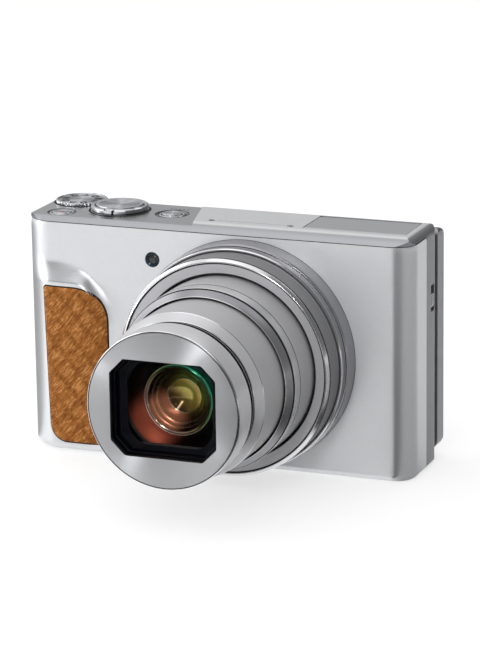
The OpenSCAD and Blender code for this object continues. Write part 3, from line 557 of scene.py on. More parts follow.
@dataclass(frozen=True)
class Turned(Finish):
    """Metal turned on a lathe, with its rings and their long reflections."""

    roughness: float = 0.25
    metallic: float = 1.0
    stretch: float = 0.6
    rings: float = 0.12
    depth: float = 0.01
    facing: Facing = Facing.FRONT

    def make(self, effects: Effects) -> Material:
        """Makes the material.

        Args:
            effects: The shared node groups.

        Returns:
            The material.
        """
        t, shader, material = self.start()
        axis = [abs(v) for v in self.facing.value[0]]
        across = tuple(1.0 - v for v in axis)
        rings = effects.use(t, effects.grooves(), Across=across, Amount=self.rings)
        rough = effects.use(t, effects.handling(), Roughness=self.roughness, Spread=0.06)
        t.put(shader.inputs["Base Color"], t.scale(self.colour, rings.outputs["Tint"]))
        t.put(shader.inputs["Roughness"], rough.outputs[0])
        t.put(shader.inputs["Normal"], t.bump(rings.outputs["Height"], 0.25, self.depth))
        tangent = t.add("Tangent", {"direction_type": "RADIAL", "axis": "XYZ"[axis.index(1)]})
        t.put(shader.inputs["Tangent"], tangent.outputs[0])
        t.feed(shader, Anisotropic=self.stretch, Anisotropic_Rotation=0.25,
               Metallic=self.metallic)
        return material


@dataclass(frozen=True)
class Plastic(Finish):
    """Moulded plastic with a fine grain and a trace of dust."""

    roughness: float = 0.5
    depth: float = 0.02
    scale: float = 5000.0
    dust: float = 0.25
    coat: float = 0.0
    edge: float = 0.1
    shine: float = 0.5

    def make(self, effects: Effects) -> Material:
        """Makes the material.

        Args:
            effects: The shared node groups.

        Returns:
            The material.
        """
        t, shader, material = self.start()
        grain = effects.use(t, effects.grain(), Scale=self.scale)
        edges = effects.use(t, effects.edges(), Radius=self.edge * MM)
        rough = effects.use(t, effects.handling(), Roughness=self.roughness, Spread=0.12)
        dusty = t.math("MULTIPLY", grain.outputs["Dust"], self.dust)
        # lighter rims: patchy wear and a painted edge highlight
        lighter = t.blend(t.math("MULTIPLY", edges.outputs["WearAndHighlight"], 0.2), self.colour, grey(0.5))
        t.put(shader.inputs["Base Color"], t.blend(dusty, lighter, grey(0.55, 0.01)))
        t.put(shader.inputs["Roughness"], rough.outputs[0])
        t.put(shader.inputs["Normal"], t.bump(grain.outputs["Height"], 0.3, self.depth,
                                              edges.outputs["Normal"]))
        t.feed(shader, Specular_IOR_Level=self.shine, Coat_Weight=self.coat, Coat_Roughness=0.05)
        return material


@dataclass(frozen=True)
class Leather(Finish):
    """Tan leatherette, pressed with a diamond quilt and a fine slanted grain."""

    cell: tuple[float, float] = (6.2, 7.6)
    slant: float = -0.75
    stretch: tuple[float, float, float] = (3000.0, 1500.0, 560.0)
    dark: Colour = (0.135, 0.036, 0.003, 1.0)
    light: Colour = (0.74, 0.35, 0.12, 1.0)
    stops: tuple[float, float, float] = (0.26, 0.39, 0.50)
    wander: float = 0.22
    weft: float = 0.1
    # amount of painted shade in the quilt's creases
    pillow_shade: float = 0.05
    hatch: float = 0.60
    blotch: float = 0.05

    def make(self, effects: Effects) -> Material:
        """Makes the material.

        Args:
            effects: The shared node groups.

        Returns:
            The material.
        """
        t, shader, material = self.start()
        where = t.add("TexCoord").outputs["Object"]
        drift = t.add("TexNoise", Vector=where, Scale=95.0, Detail=2.0)
        place = t.add("SeparateXYZ", Vector=where)
        across = t.math("MULTIPLY", place.outputs[0], 1 / (self.cell[0] * MM))
        up = t.math("MULTIPLY", place.outputs[2], 1 / (self.cell[1] * MM))
        wander = t.math("MULTIPLY", drift.outputs[0], self.wander)
        creases = []
        for turn in (1.0, -1.0):
            line = t.math("ADD", t.math("MULTIPLY_ADD", up, turn, across), wander)
            creases.append(t.math("PINGPONG", line, 0.5))
        # the quilt's raised cells: painted lighter in their middles and darker in the creases as painted
        # shade; the same shape drives the bump
        pillow_shade = t.smooth(t.math("SMOOTH_MIN", creases[0], creases[1], 0.12), 0.0, 0.26)
        turned = t.add("VectorRotate", {"rotation_type": "Y_AXIS"}, Vector=where,
                       Angle=self.slant)
        drawn = t.vector("MULTIPLY", turned.outputs[0], self.stretch).outputs[0]
        fibre = t.add("TexNoise", Vector=drawn, Scale=1.0, Detail=5.0, Roughness=0.7)
        cross = t.add("VectorRotate", {"rotation_type": "Y_AXIS"}, Vector=where,
                      Angle=-self.slant)
        weft = t.add("TexNoise", Vector=t.vector("MULTIPLY", cross.outputs[0], self.stretch)
                     .outputs[0], Scale=0.8, Detail=4.0, Roughness=0.6)
        hatch = t.math("MULTIPLY_ADD", weft.outputs[0], self.weft, fibre.outputs[0])
        pores = t.add("TexVoronoi", Vector=where, Scale=2300.0)
        blotch = t.add("TexNoise", Vector=where, Scale=110.0, Detail=3.0)
        shade = t.math("ADD", t.math("MULTIPLY", pillow_shade, self.pillow_shade),
                       t.math("ADD", t.math("MULTIPLY", hatch, self.hatch),
                              t.math("MULTIPLY", blotch.outputs[0], self.blotch)))
        t.put(shader.inputs["Base Color"],
              t.ramp(shade, list(zip(self.stops, (self.dark, self.colour, self.light)))))
        rough = effects.use(t, effects.handling(), Roughness=0.55, Spread=0.14)
        t.put(shader.inputs["Roughness"], rough.outputs[0])
        quilt = t.bump(pillow_shade, 0.30, 0.15)
        skin = t.bump(t.math("ADD", hatch, t.math("MULTIPLY", pores.outputs["Distance"], 0.4)),
                      0.6, 0.07, quilt)
        t.put(shader.inputs["Normal"], skin)
        shader.inputs["Specular IOR Level"].default_value = 0.22
        return material


@dataclass(frozen=True)
class CoatedGlassPaintedReflection(Finish):
    """Glass over a dark inside, its coat's colours painted reflections laid across the lens by position
    and faded to dark away from their band.
    """

    lower: Colour = (0.40, 0.09, 0.03, 1.0)
    middle: Colour = (0.30, 0.27, 0.04, 1.0)
    upper: Colour = (0.02, 0.16, 0.08, 1.0)
    span: float = 8.0
    tilt: float = 0.76
    metallic: float = 0.7
    roughness: float = 0.16
    coat: float = 0.3
    shine: float = 0.1
    fade: tuple[float, float] = (6.5, 12.5)
    rings: float = 0.35

    def make(self, effects: Effects) -> Material:
        """Makes the material.

        Args:
            effects: The shared node groups.

        Returns:
            The material.
        """
        t, shader, material = self.start()
        place = t.add("SeparateXYZ", Vector=t.add("TexCoord").outputs["Object"])
        sweep = t.math("ADD", t.math("MULTIPLY", place.outputs[0], math.cos(self.tilt)),
                       t.math("MULTIPLY", place.outputs[2], math.sin(self.tilt)))
        side = t.math("SUBTRACT", t.math("MULTIPLY", place.outputs[2], math.cos(self.tilt)),
                      t.math("MULTIPLY", place.outputs[0], math.sin(self.tilt)))
        # painted reflection: coloured bands swept across the glass by position
        share = t.math("MULTIPLY_ADD", sweep, 0.5 / (self.span * MM), 0.5)
        painted_reflection = t.ramp(share, [(0.12, self.lower), (0.36, self.colour), (0.66, self.middle),
                              (0.96, self.upper)])
        # painted shade: the colours fade to near black away from the middle of their band
        reflection_fade = t.smooth(t.math("ABSOLUTE", side), self.fade[0] * MM, self.fade[1] * MM, 1.0, 0.03)
        rings = effects.use(t, effects.grooves(), Scale=2600.0, Amount=self.rings)
        t.put(shader.inputs["Base Color"],
              t.scale(painted_reflection, t.math("MULTIPLY", reflection_fade, rings.outputs["Tint"])))
        rough = effects.use(t, effects.handling(), Roughness=self.roughness, Spread=0.05)
        t.put(shader.inputs["Roughness"], rough.outputs[0])
        t.feed(shader, Metallic=self.metallic, Specular_IOR_Level=self.shine,
               Coat_Weight=self.coat, Coat_Roughness=0.02)
        return material


@dataclass(frozen=True)
class Clear(Finish):
    """A clear, coated pane that shows what lies behind it."""

    alpha: float = 0.01
    roughness: float = 0.02

    def make(self, effects: Effects) -> Material:
        """Makes the material.

        Args:
            effects: The shared node groups.

        Returns:
            The material.
        """
        t, shader, material = self.start()
        rim = t.add("Fresnel", IOR=1.5).outputs[0]
        rough = effects.use(t, effects.handling(), Roughness=self.roughness, Spread=0.02)
        t.put(shader.inputs["Roughness"], rough.outputs[0])
        t.put(shader.inputs["Alpha"], t.math("MULTIPLY_ADD", rim, 0.25, self.alpha))
        t.feed(shader, Coat_Weight=0.5, Coat_Roughness=0.01)
        return material


class Finishes:
    """Every finish on the camera."""

    shell = Lacquer("satin_silver", (0.78, 0.79, 0.81, 1), "silver_shell", roughness=0.34,
                    metallic=0.88, flat=0.30, coat=0.1)
    rear = Lacquer("satin_grey", (0.27, 0.275, 0.285, 1), "silver_shell", roughness=0.38,
                   metallic=0.7)
    lid = Lacquer("satin_silver_lid", (0.50, 0.505, 0.52, 1), "silver_shell", roughness=0.34)
    deck = StepShadedLacquer("deck_silver", (0.38, 0.39, 0.41, 1), "silver_shell", roughness=0.32)
    screen = Lacquer("screen_silver", (0.34, 0.345, 0.36, 1), "screen_case", roughness=0.42)
    barrel = Lacquer("barrel_grey", (0.50, 0.50, 0.51, 1), "turned_metal", roughness=0.5,
                     metallic=0.35, flake=0.06, coat=0.0)
    keys = Lacquer("key_lacquer", (0.58, 0.59, 0.61, 1), "key_silver", roughness=0.34)
    band = Turned("band_metal", (0.70, 0.70, 0.72, 1), "turned_metal", roughness=0.28,
                  stretch=0.55, metallic=0.75, depth=0.003, rings=0.06)
    collar = Lacquer("collar_silver", (0.62, 0.62, 0.64, 1), "cap_metal", roughness=0.34,
                     metallic=0.40, flake=0.04, coat=0.1)
    lip = Turned("polished_lip", (0.84, 0.84, 0.86, 1), "turned_metal", roughness=0.22,
                 stretch=0.4, rings=0.03, depth=0.002)
    dish = Turned("dished_face", (0.76, 0.76, 0.78, 1), "turned_metal", roughness=0.34,
                  stretch=0.8, metallic=0.5)
    cap = Turned("cap_face", (0.52, 0.525, 0.54, 1), "cap_metal", roughness=0.38,
                 stretch=0.97, rings=0.08)
    dial = Turned("dial_metal", (0.50, 0.51, 0.53, 1), "cap_metal", roughness=0.40,
                  stretch=0.96, rings=0.15, facing=Facing.UP)
    rim = Turned("dial_rim", (0.62, 0.63, 0.65, 1), "cap_metal", roughness=0.15, stretch=0.3,
                 rings=0.05, facing=Facing.UP)
    # painted shade: near black for the recess around the small buttons
    shaded_well = Turned("button_well_painted_shade", (0.09, 0.095, 0.10, 1), "silver_shell", roughness=0.3,
                  stretch=0.7, facing=Facing.UP)
    bezel = Turned("bezel_metal", (0.37, 0.37, 0.39, 1), "turned_metal", roughness=0.30,
                   stretch=0.6, metallic=0.8, depth=0.004)
    shaded = Lacquer("barrel_shade", (0.23, 0.23, 0.24, 1), "turned_metal", roughness=0.5,
                     metallic=0.35, flake=0.10, coat=0.0)
    wheel = Turned("wheel_metal", (0.50, 0.51, 0.53, 1), "key_silver", roughness=0.3,
                   stretch=0.6, rings=0.12, facing=Facing.REAR)
    steel = Turned("stamped_steel", (0.56, 0.57, 0.58, 1), "frame_steel", roughness=0.34,
                   stretch=0.2, rings=0.2)
    black = Plastic("matt_black", grey(0.012), "black_plastic", roughness=0.62)
    # near black: real joints and holes, and also painted shade lines and rings beside the lens lips, the
    # pad and the controls
    joint_and_shade = Plastic("joint_and_shade_black", grey(0.004), "black_plastic", roughness=0.8, dust=0.05)
    frame = Plastic("hood_black", (0.0015, 0.002, 0.0045, 1), "black_plastic", roughness=0.45,
                    depth=0.01, dust=0.01, edge=0.05, shine=0.08)
    blade = Plastic("blade_coat", grey(0.02), "blade_black", roughness=0.5)
    leather = Leather("tan_leather", (0.38, 0.128, 0.019, 1), "grip_leather")
    ink = Plastic("dark_print", grey(0.02), "cap_metal", roughness=0.5, depth=0.0, dust=0.1)
    red = Plastic("red_print", (0.30, 0.045, 0.035, 1), "silver_shell", roughness=0.35,
                  depth=0.0, coat=0.5)
    board = Plastic("solder_mask", (0.012, 0.09, 0.045, 1), "board_green", roughness=0.3,
                    scale=1500.0, coat=0.6)
    cell = Plastic("battery_wrap", grey(0.05), "battery_case", roughness=0.35)
    card = Plastic("card_shell", (0.02, 0.045, 0.15, 1), "card_blue", roughness=0.4)
    gold = Turned("gold_flash", (0.78, 0.55, 0.20, 1), "contact_gold", roughness=0.25,
                  stretch=0.1)
    sleeve = Plastic("capacitor_sleeve", grey(0.02), "capacitor_black", roughness=0.3, coat=0.4)
    acetal = Plastic("acetal", (0.72, 0.69, 0.60, 1), "gear_plastic", roughness=0.45)
    # painted reflections in the lens glass, the sensor cover, the display and the lamp cover
    sensor = CoatedGlassPaintedReflection("sensor_cover", (0.05, 0.10, 0.16, 1), "sensor_glass",
                    lower=(0.03, 0.05, 0.12, 1), middle=(0.10, 0.06, 0.14, 1),
                    upper=(0.02, 0.12, 0.10, 1), span=6.0)
    flash = Plastic("flash_diffuser", (0.80, 0.81, 0.78, 1), "flash_plastic", roughness=0.22,
                    scale=700.0, depth=0.12, coat=0.8)
    pane = Plastic("screen_pane", (0.006, 0.006, 0.008, 1), "screen_glass", roughness=0.12,
                   depth=0.0, dust=0.04, coat=0.4)
    display = CoatedGlassPaintedReflection("display", (0.006, 0.0065, 0.009, 1), "screen_glass",
                     lower=(0.006, 0.006, 0.009, 1), middle=(0.008, 0.008, 0.011, 1),
                     upper=(0.010, 0.010, 0.014, 1), span=40.0, metallic=0.1, roughness=0.2,
                     fade=(90.0, 99.0), rings=0.0, coat=0.3)
    outer_glass = Clear("clear_front", (0.004, 0.012, 0.010, 1), "front_glass")
    bowl_glass = CoatedGlassPaintedReflection("bowl_glass", (0.10, 0.045, 0.012, 1), "front_glass", span=8.4,
                        lower=(1.0, 0.36, 0.20, 1), middle=(0.12, 0.18, 0.025, 1),
                        upper=(0.012, 0.08, 0.035, 1), roughness=0.22, metallic=0.6,
                        fade=(3.2, 6.6), coat=0.05)
    heart_glass = CoatedGlassPaintedReflection("heart_glass", (0.26, 0.17, 0.03, 1), "front_glass", span=4.4,
                         lower=(0.09, 0.045, 0.010, 1), middle=(0.50, 0.44, 0.08, 1),
                         upper=(0.62, 0.80, 0.32, 1), roughness=0.12, coat=0.6,
                         fade=(3.6, 6.0), metallic=0.5)
    cone = CoatedGlassPaintedReflection("cone_glass", (0.05, 0.016, 0.008, 1), "front_glass", span=13.0,
                  lower=(0.30, 0.066, 0.036, 1), middle=(0.002, 0.014, 0.009, 1),
                  upper=(0.001, 0.055, 0.032, 1), roughness=0.32, metallic=0.3,
                  fade=(3.8, 8.8), coat=0.0, shine=0.04, rings=0.15)
    ring = CoatedGlassPaintedReflection("ring_glass", (0.30, 0.22, 0.10, 1), "front_glass", span=8.7,
                  lower=(0.80, 0.55, 0.45, 1), middle=(0.07, 0.16, 0.05, 1),
                  upper=(0.02, 0.22, 0.11, 1), roughness=0.14, fade=(6.0, 13.0), metallic=0.8)
    lamp = CoatedGlassPaintedReflection("lamp_cover", (0.018, 0.034, 0.046, 1), "lamp_glass", span=2.2,
                  lower=(0.026, 0.050, 0.068, 1), middle=(0.016, 0.030, 0.040, 1),
                  upper=(0.008, 0.016, 0.022, 1), metallic=0.2, coat=0.3, rings=0.1)


# Meshes ----------------------------------------------------------------------


class Shape:
    """A mesh in the making, in millimetres."""

    def __init__(self) -> None:
        """Starts empty."""
        self.points: list[Point] = []
        self.faces: list[tuple[int, ...]] = []
        self.kinds: list[int] = []

    def loops(self, loops: Sequence[Sequence[Point]], kinds: Sequence[int] | int = 0,
              closed: bool = True) -> None:
        """Joins loops of equal length by bands of quads.

        Args:
            loops: The loops, each a list of points.
            kinds: The finish of each band, or one for all.
            closed: Whether each loop's end joins its start.
        """
        base = len(self.points)
        count = len(loops[0])
        for loop in loops:
            self.points.extend(loop)
        last = count if closed else count - 1
        for i in range(len(loops) - 1):
            kind = kinds if isinstance(kinds, int) else kinds[i]
            for j in range(last):
                k = (j + 1) % count
                a, b = base + i * count, base + (i + 1) * count
                self.faces.append((a + j, a + k, b + k, b + j))
                self.kinds.append(kind)

    def cap(self, loop: Sequence[Point], kind: int = 0) -> None:
        """Closes a loop with one face.

        Args:
            loop: The points around it.
            kind: The number of its finish.
        """
        base = len(self.points)
        self.points.extend(loop)
        self.faces.append(tuple(range(base, base + len(loop))))
        self.kinds.append(kind)

    def prism(self, outline: Sequence[Point], along: Point, kind: int = 0) -> None:
        """A closed prism: an outline moved along a direction.

        Args:
            outline: The points around one end.
            along: The way to the other end.
            kind: The number of its finish.
        """
        far = [tuple(a + b for a, b in zip(p, along)) for p in outline]
        self.loops([list(outline), far], kind)
        self.cap(outline, kind)
        self.cap(far, kind)

    def box(self, low: Point, high: Point, kind: int = 0) -> None:
        """A box between two corners.

        Args:
            low: The lowest corner.
            high: The highest corner.
            kind: The number of its finish.
        """
        outline = [(low[0], low[1], low[2]), (high[0], low[1], low[2]),
                   (high[0], high[1], low[2]), (low[0], high[1], low[2])]
        self.prism(outline, (0, 0, high[2] - low[2]), kind)

    def object(self, name: str, finishes: Sequence[Finish], effects: Effects,
               origin: Point = (0, 0, 0), sharp: float = 32.0) -> Object:
        """Makes the object.

        Args:
            name: The object's name.
            finishes: The finish that each kind number stands for.
            effects: The shared node groups.
            origin: Where the object's own centre lies.
            sharp: The angle over which an edge stays crisp.

        Returns:
            The object, linked to the scene.
        """
        mesh = bpy.data.meshes.new(name)
        centre = Vector(origin)
        mesh.from_pydata([(Vector(p) - centre) * MM for p in self.points], [], self.faces)
        for finish in finishes:
            mesh.materials.append(finish.material(effects))
        mesh.polygons.foreach_set("material_index", self.kinds)
        mesh.validate()
        thing = bpy.data.objects.new(name, mesh)
        thing.location = centre * MM
        bpy.context.scene.collection.objects.link(thing)
        tidy_mesh(thing, sharp)
        return thing


def tidy_mesh(thing: Object, sharp: float) -> None:
    """Welds a mesh, turns its faces outward and shades it.

    Args:
        thing: The object.
        sharp: The angle over which an edge stays crisp.
    """
    work = bmesh.new()
    work.from_mesh(thing.data)
    bmesh.ops.remove_doubles(work, verts=work.verts, dist=0.0005 * MM)
    bmesh.ops.recalc_face_normals(work, faces=work.faces)
    work.to_mesh(thing.data)
    work.free()
    thing.data.shade_smooth()
    thing.data.set_sharp_from_angle(angle=math.radians(sharp))


def bake(thing: Object, sharp: float = 32.0) -> None:
    """Turns an object's modifiers into its mesh.

    Args:
        thing: The object.
        sharp: The angle over which an edge stays crisp.
    """
    graph = bpy.context.evaluated_depsgraph_get()
    mesh = bpy.data.meshes.new_from_object(thing.evaluated_get(graph))
    thing.modifiers.clear()
    thing.data = mesh
    mesh.shade_smooth()
    mesh.set_sharp_from_angle(angle=math.radians(sharp))


def carve(thing: Object, cutter: Shape, effects: Effects, sharp: float = 32.0) -> None:
    """Cuts a shape out of an object.

    Args:
        thing: The object to cut.
        cutter: What to take away.
        effects: The shared node groups.
        sharp: The angle over which an edge stays crisp.
    """
    tool = cutter.object(thing.name + "_cutter", [Finishes.joint_and_shade], effects)
    change = thing.modifiers.new("cut", "BOOLEAN")
    change.operation = "DIFFERENCE"
    change.solver = "EXACT"
    change.object = tool
    bake(thing, sharp)
    bpy.data.objects.remove(tool)


@dataclass(frozen=True)
class Ring:
    """One ring of a turned profile, in millimetres."""

    radius: float
    height: float
    kind: int = 0
    wave: float = 0.0


def turned_loops(rings: Sequence[Ring], centre: Point, facing: Facing, steps: int = 192,
                 teeth: int = 0) -> list[list[Point]]:
    """The loops of a turned profile.

    Args:
        rings: The profile.
        centre: The point that heights are measured from.
        facing: The way heights grow.
        steps: Points around each loop.
        teeth: How many knurls a ring with a wave has.

    Returns:
        One loop for each ring.
    """
    out, right, up = (Vector(v) for v in facing.value)
    base = Vector(centre)
    loops = []
    for ring in rings:
        loop = []
        for i in range(steps):
            angle = 2 * math.pi * i / steps
            radius = ring.radius - ring.wave * (0.5 - 0.5 * math.cos(angle * teeth))
            side = right * math.cos(angle) + up * math.sin(angle)
            loop.append(tuple(base + side * max(radius, 0.0005) + out * ring.height))
        loops.append(loop)
    return loops


def rounded_outline(corners: Sequence[tuple[float, float, float]], inset: float = 0.0,
                    arc: int = 10, edge: int = 12) -> list[tuple[float, float]]:
    """A convex outline with rounded corners, drawn in by an inset.

    Args:
        corners: Each corner's two coordinates and its radius, counterclockwise.
        inset: How far the outline is drawn in.
        arc: Steps in each rounded corner.
        edge: Steps along each straight side.

    Returns:
        The outline's points, always the same number for the same steps.
    """
    count = len(corners)
    lines = []
    for i in range(count):
        a, b = Vector(corners[i][:2]), Vector(corners[(i + 1) % count][:2])
        way = (b - a).normalized()
        lines.append((a + Vector((-way.y, way.x)) * inset, way))
    tips = []
    for i in range(count):
        (p, d), (q, e) = lines[i - 1], lines[i]
        cross = d.x * e.y - d.y * e.x
        t = ((q.x - p.x) * e.y - (q.y - p.y) * e.x) / cross
        tips.append(p + d * t)
    arcs = []
    for i in range(count):
        before, after = lines[i - 1][1], lines[i][1]
        radius = max(corners[i][2] - inset, 0.05)
        turn = math.atan2(before.x * after.y - before.y * after.x, before.dot(after))
        reach = radius * math.tan(turn / 2)
        room = min((tips[i] - tips[i - 1]).length, (tips[(i + 1) % count] - tips[i]).length) * 0.5
        if reach > room:
            radius *= room / reach
            reach = room
        middle = tips[i] - before * reach + Vector((-before.y, before.x)) * radius
        start = math.atan2(-before.x, before.y)
        arcs.append([(middle.x + radius * math.cos(start + turn * k / arc),
                      middle.y + radius * math.sin(start + turn * k / arc))
                     for k in range(arc + 1)])
    points = []
    for i in range(count):
        points.extend(arcs[i])
        a, b = arcs[i][-1], arcs[(i + 1) % count][0]
        points.extend((a[0] + (b[0] - a[0]) * k / edge, a[1] + (b[1] - a[1]) * k / edge)
                      for k in range(1, edge))
    return points


def dress(piece: Object, body: str, slot: str, *nodes: str) -> None:
    """Gives a piece its body, and hides the nodes it stands for.

    Args:
        piece: The piece.
        body: The body that it rides on.
        slot: The record's slot for its finish; not used.
        nodes: The nodes to hide.
    """
    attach(piece, body)
    if nodes:
        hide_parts(*nodes)
    LOG.info("%s: %d faces, rides on %s", piece.name, len(piece.data.polygons), body)


@dataclass(frozen=True)
class Box:
    """A CAD node's box in millimetres."""

    low: Vector
    high: Vector

    @classmethod
    def of(cls, node: str) -> "Box":
        """Reads a node's box."""
        low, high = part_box(node)
        return cls(low / MM, high / MM)

    @property
    def middle(self) -> Vector:
        """The box's centre."""
        return (self.low + self.high) / 2


# The body --------------------------------------------------------------------


@dataclass
class Body:
    """The front shell, with the grip that swells out of it."""

    effects: Effects
    wall: float = 1.3
    grip_radius: float = 9.0
    end_radius: float = 6.0
    foot: float = 2.0
    swell: float = 2.6
    joint: float = 0.18
    top: float = 63.3
    seam: float = 1.2
    left_top: float = 4.0
    right_top: float = 3.0
    crown: float = 65.1
    corner: tuple[float, float] = (9.0, 1.0)
    column: float = 0.4
    grip_edge: float = 47.4
    grip_end: float = -20.0
    dense_end: float = -24.0
    edge_drop: float = 9.0
    bend_zone: tuple[float, float] = (-40.5, -28.5)
    waist: float = -35.0
    inner_fall: tuple[float, float] = (-34.2, 7.6)
    outer_fall: tuple[float, float] = (-46.2, 6.6)
    foot_rise: tuple[float, float] = (-0.2, 2.0)
    lens_hole: float = 30.3
    lamp_hole: float = 2.06
    socket_hole: float = 4.25
    screw_hole: float = 1.14
    screws: tuple = ((-8.0, -1.0), (20.0, 6.5), (50.0, -2.6))
    half: float = field(init=False)
    front: float = field(init=False)
    lens: Vector = field(init=False)

    def __post_init__(self) -> None:
        """Takes the main places from the frame."""
        shell = Box.of("rear_shell")
        self.half = shell.high.x
        self.front = Box.of("lens_housing").low.y
        self.lens = Box.of("barrel_1").middle

    def rise(self, x: float, z: float) -> float:
        """How far the grip stands proud of the front face.

        Args:
            x: Place across the front.
            z: Height over the ground.

        Returns:
            The distance.
        """
        bend = soft_step(x, *self.bend_zone)
        edge = self.grip_edge - self.edge_drop * bend * bend
        width = (4.7 - 2.0 * soft_step(x, -46.0, self.waist)
                 + 3.4 * soft_step(x, self.waist, -29.0))
        shoulder = eased_ramp((z - edge) / width, 0.025 + 0.1 * bend, 0.14)
        side = eased_ramp((x - self.inner_fall[0]) / self.inner_fall[1], 0.12, 0.13)
        corner = eased_ramp((self.outer_fall[0] - x) / self.outer_fall[1], 0.16, 0.10)
        foot = 1 - 0.75 * eased_ramp((z - self.foot_rise[0]) / self.foot_rise[1], 0.1, 0.14)
        return self.swell * shoulder * side * corner * foot

    def skin(self, x: float, z: float) -> float:
        """The Y of the front surface at a point of the grip.

        Args:
            x: Place across the front.
            z: Height over the ground.

        Returns:
            The coordinate.
        """
        back = 0.0
        middle = -self.half + self.grip_radius
        if x < middle:
            back = self.grip_radius - math.sqrt(
                max(self.grip_radius ** 2 - (middle - x) ** 2, 0.0))
        return self.front + back - self.rise(x, z)

    def plan(self) -> list[tuple[float, float, float, float]]:
        """The outline from above: place and outward direction of each column.

        Returns:
            Each column's X and Y, and its direction's X and Y.
        """
        columns = []
        flank, sweep, face, end_sweep = 5, 36, 24, 24
        far = self.seam - self.joint
        left, right = -self.half, self.half
        turn = self.front + self.grip_radius
        for k in range(flank):
            columns.append((left, far + (turn - far) * k / flank, -1.0, 0.0))
        for k in range(sweep + 1):
            a = math.pi + math.pi / 2 * k / sweep
            columns.append((left + self.grip_radius + self.grip_radius * math.cos(a),
                            turn + self.grip_radius * math.sin(a), math.cos(a), math.sin(a)))
        start = left + self.grip_radius
        dense = int((self.dense_end - start) / self.column)
        for k in range(1, dense + 1):
            columns.append((start + self.column * k, self.front, 0.0, -1.0))
        start = columns[-1][0]
        end = right - self.end_radius
        for k in range(1, face):
            columns.append((start + (end - start) * k / face, self.front, 0.0, -1.0))
        for k in range(end_sweep + 1):
            a = -math.pi / 2 + math.pi / 2 * k / end_sweep
            columns.append((end + self.end_radius * math.cos(a),
                            self.front + self.end_radius + self.end_radius * math.sin(a),
                            math.cos(a), math.sin(a)))
        turn = self.front + self.end_radius
        for k in range(1, flank + 1):
            columns.append((right, turn + (far - turn) * k / flank, 1.0, 0.0))
        return columns

    def levels(self) -> list[tuple[float, float]]:
        """Each row's height and how far the foot draws it in.

        Returns:
            Each row's height and inset.
        """
        rows = []
        ends, coarse, fine = 8, 83, 51
        for k in range(ends + 1):
            a = math.pi / 2 * k / ends
            rows.append((self.foot * (1 - math.cos(a)), self.foot * (1 - math.sin(a))))
        rows += [(self.foot + 0.5 * k, 0.0) for k in range(1, coarse + 1)]
        start = rows[-1][0]
        rows += [(start + 0.25 * k, 0.0) for k in range(1, fine + 1)]
        start = rows[-1][0]
        end = self.top - self.joint
        rows += [(start + (end - start) * k / ends, 0.0) for k in range(1, ends + 1)]
        return rows

    def front_shell(self) -> Object:
        """The front shell's skin, thickened and then pierced.

        Returns:
            The new piece.
        """
        plan = self.plan()
        turn, stop = (self.half - reach for reach in self.corner)
        shape = Shape()
        loops = []
        for z, inset in self.levels():
            row = []
            for x, y, nx, ny in plan:
                px, py = x - nx * inset, y - ny * inset
                for sign, radius in ((-1, self.left_top), (1, self.right_top)):
                    above = z - (self.crown - radius)
                    if above > 0 and px * sign > turn:
                        pull = radius - math.sqrt(max(radius ** 2 - above ** 2, 0))
                        px -= sign * pull * soft_step(px * sign, turn, stop)
                if x < self.grip_end and ny < -0.05:
                    py -= self.rise(x, z)
                row.append((px, py, z))
            loops.append(row)
        shape.loops(loops, 0, closed=False)
        shape.cap(loops[0], 0)
        shell = shape.object("front_skin", [Finishes.shell, Finishes.joint_and_shade], self.effects)
        thick = shell.modifiers.new("wall", "SOLIDIFY")
        thick.thickness = self.wall * MM
        thick.offset = -1.0
        thick.use_rim = True
        bake(shell)
        carve(shell, self.openings(), self.effects)
        return shell

    def openings(self) -> Shape:
        """Everything that pierces the front shell.

        Returns:
            The shape to cut away.
        """
        cut = Shape()
        x, z = self.lens.x, self.lens.z

        def bore(at: Point, radius: float, reach: float, facing: Facing) -> None:
            """A round hole."""
            rings = [Ring(0, -reach), Ring(radius, -reach), Ring(radius, reach), Ring(0, reach)]
            cut.loops(turned_loops(rings, at, facing, 96))

        bore((x, self.front, z), self.lens_hole, 6.0, Facing.FRONT)
        lamp = Box.of("lamp_window")
        bore((lamp.middle.x, self.front, lamp.middle.z), self.lamp_hole, 5.0, Facing.FRONT)
        socket = Box.of("tripod_socket").middle
        bore((socket.x, socket.y, 0), self.socket_hole, 3.0, Facing.DOWN)
        door = Box.of("port_door")
        cut.box((door.low.x - 3, door.low.y - 0.1, door.low.z + 0.42),
                (door.low.x + 3.5, 8.0, door.high.z - 0.42))
        door = Box.of("battery_door")
        cut.box((door.low.x - 1.3, door.low.y - 0.12, -2), (door.high.x + 1.3, 9.0, 2.2))
        for x, y in self.screws:
            bore((x, y, 0), self.screw_hole, 3.0, Facing.DOWN)
        return cut

    def seam_line(self) -> Object:
        """The dark joint between the front shell and the top cover.

        Returns:
            The new piece.
        """
        shape = Shape()
        loops = []
        for z, inset in ((self.top - self.joint - 0.4, 0.9), (self.top - self.joint, 0.1),
                         (self.top + 0.02, 0.1), (self.top + 0.02, 0.9)):
            loops.append([(x - nx * inset, y - ny * inset, z) for x, y, nx, ny in self.plan()])
        shape.loops(loops, 0, closed=False)
        return shape.object("top_joint", [Finishes.joint_and_shade], self.effects)

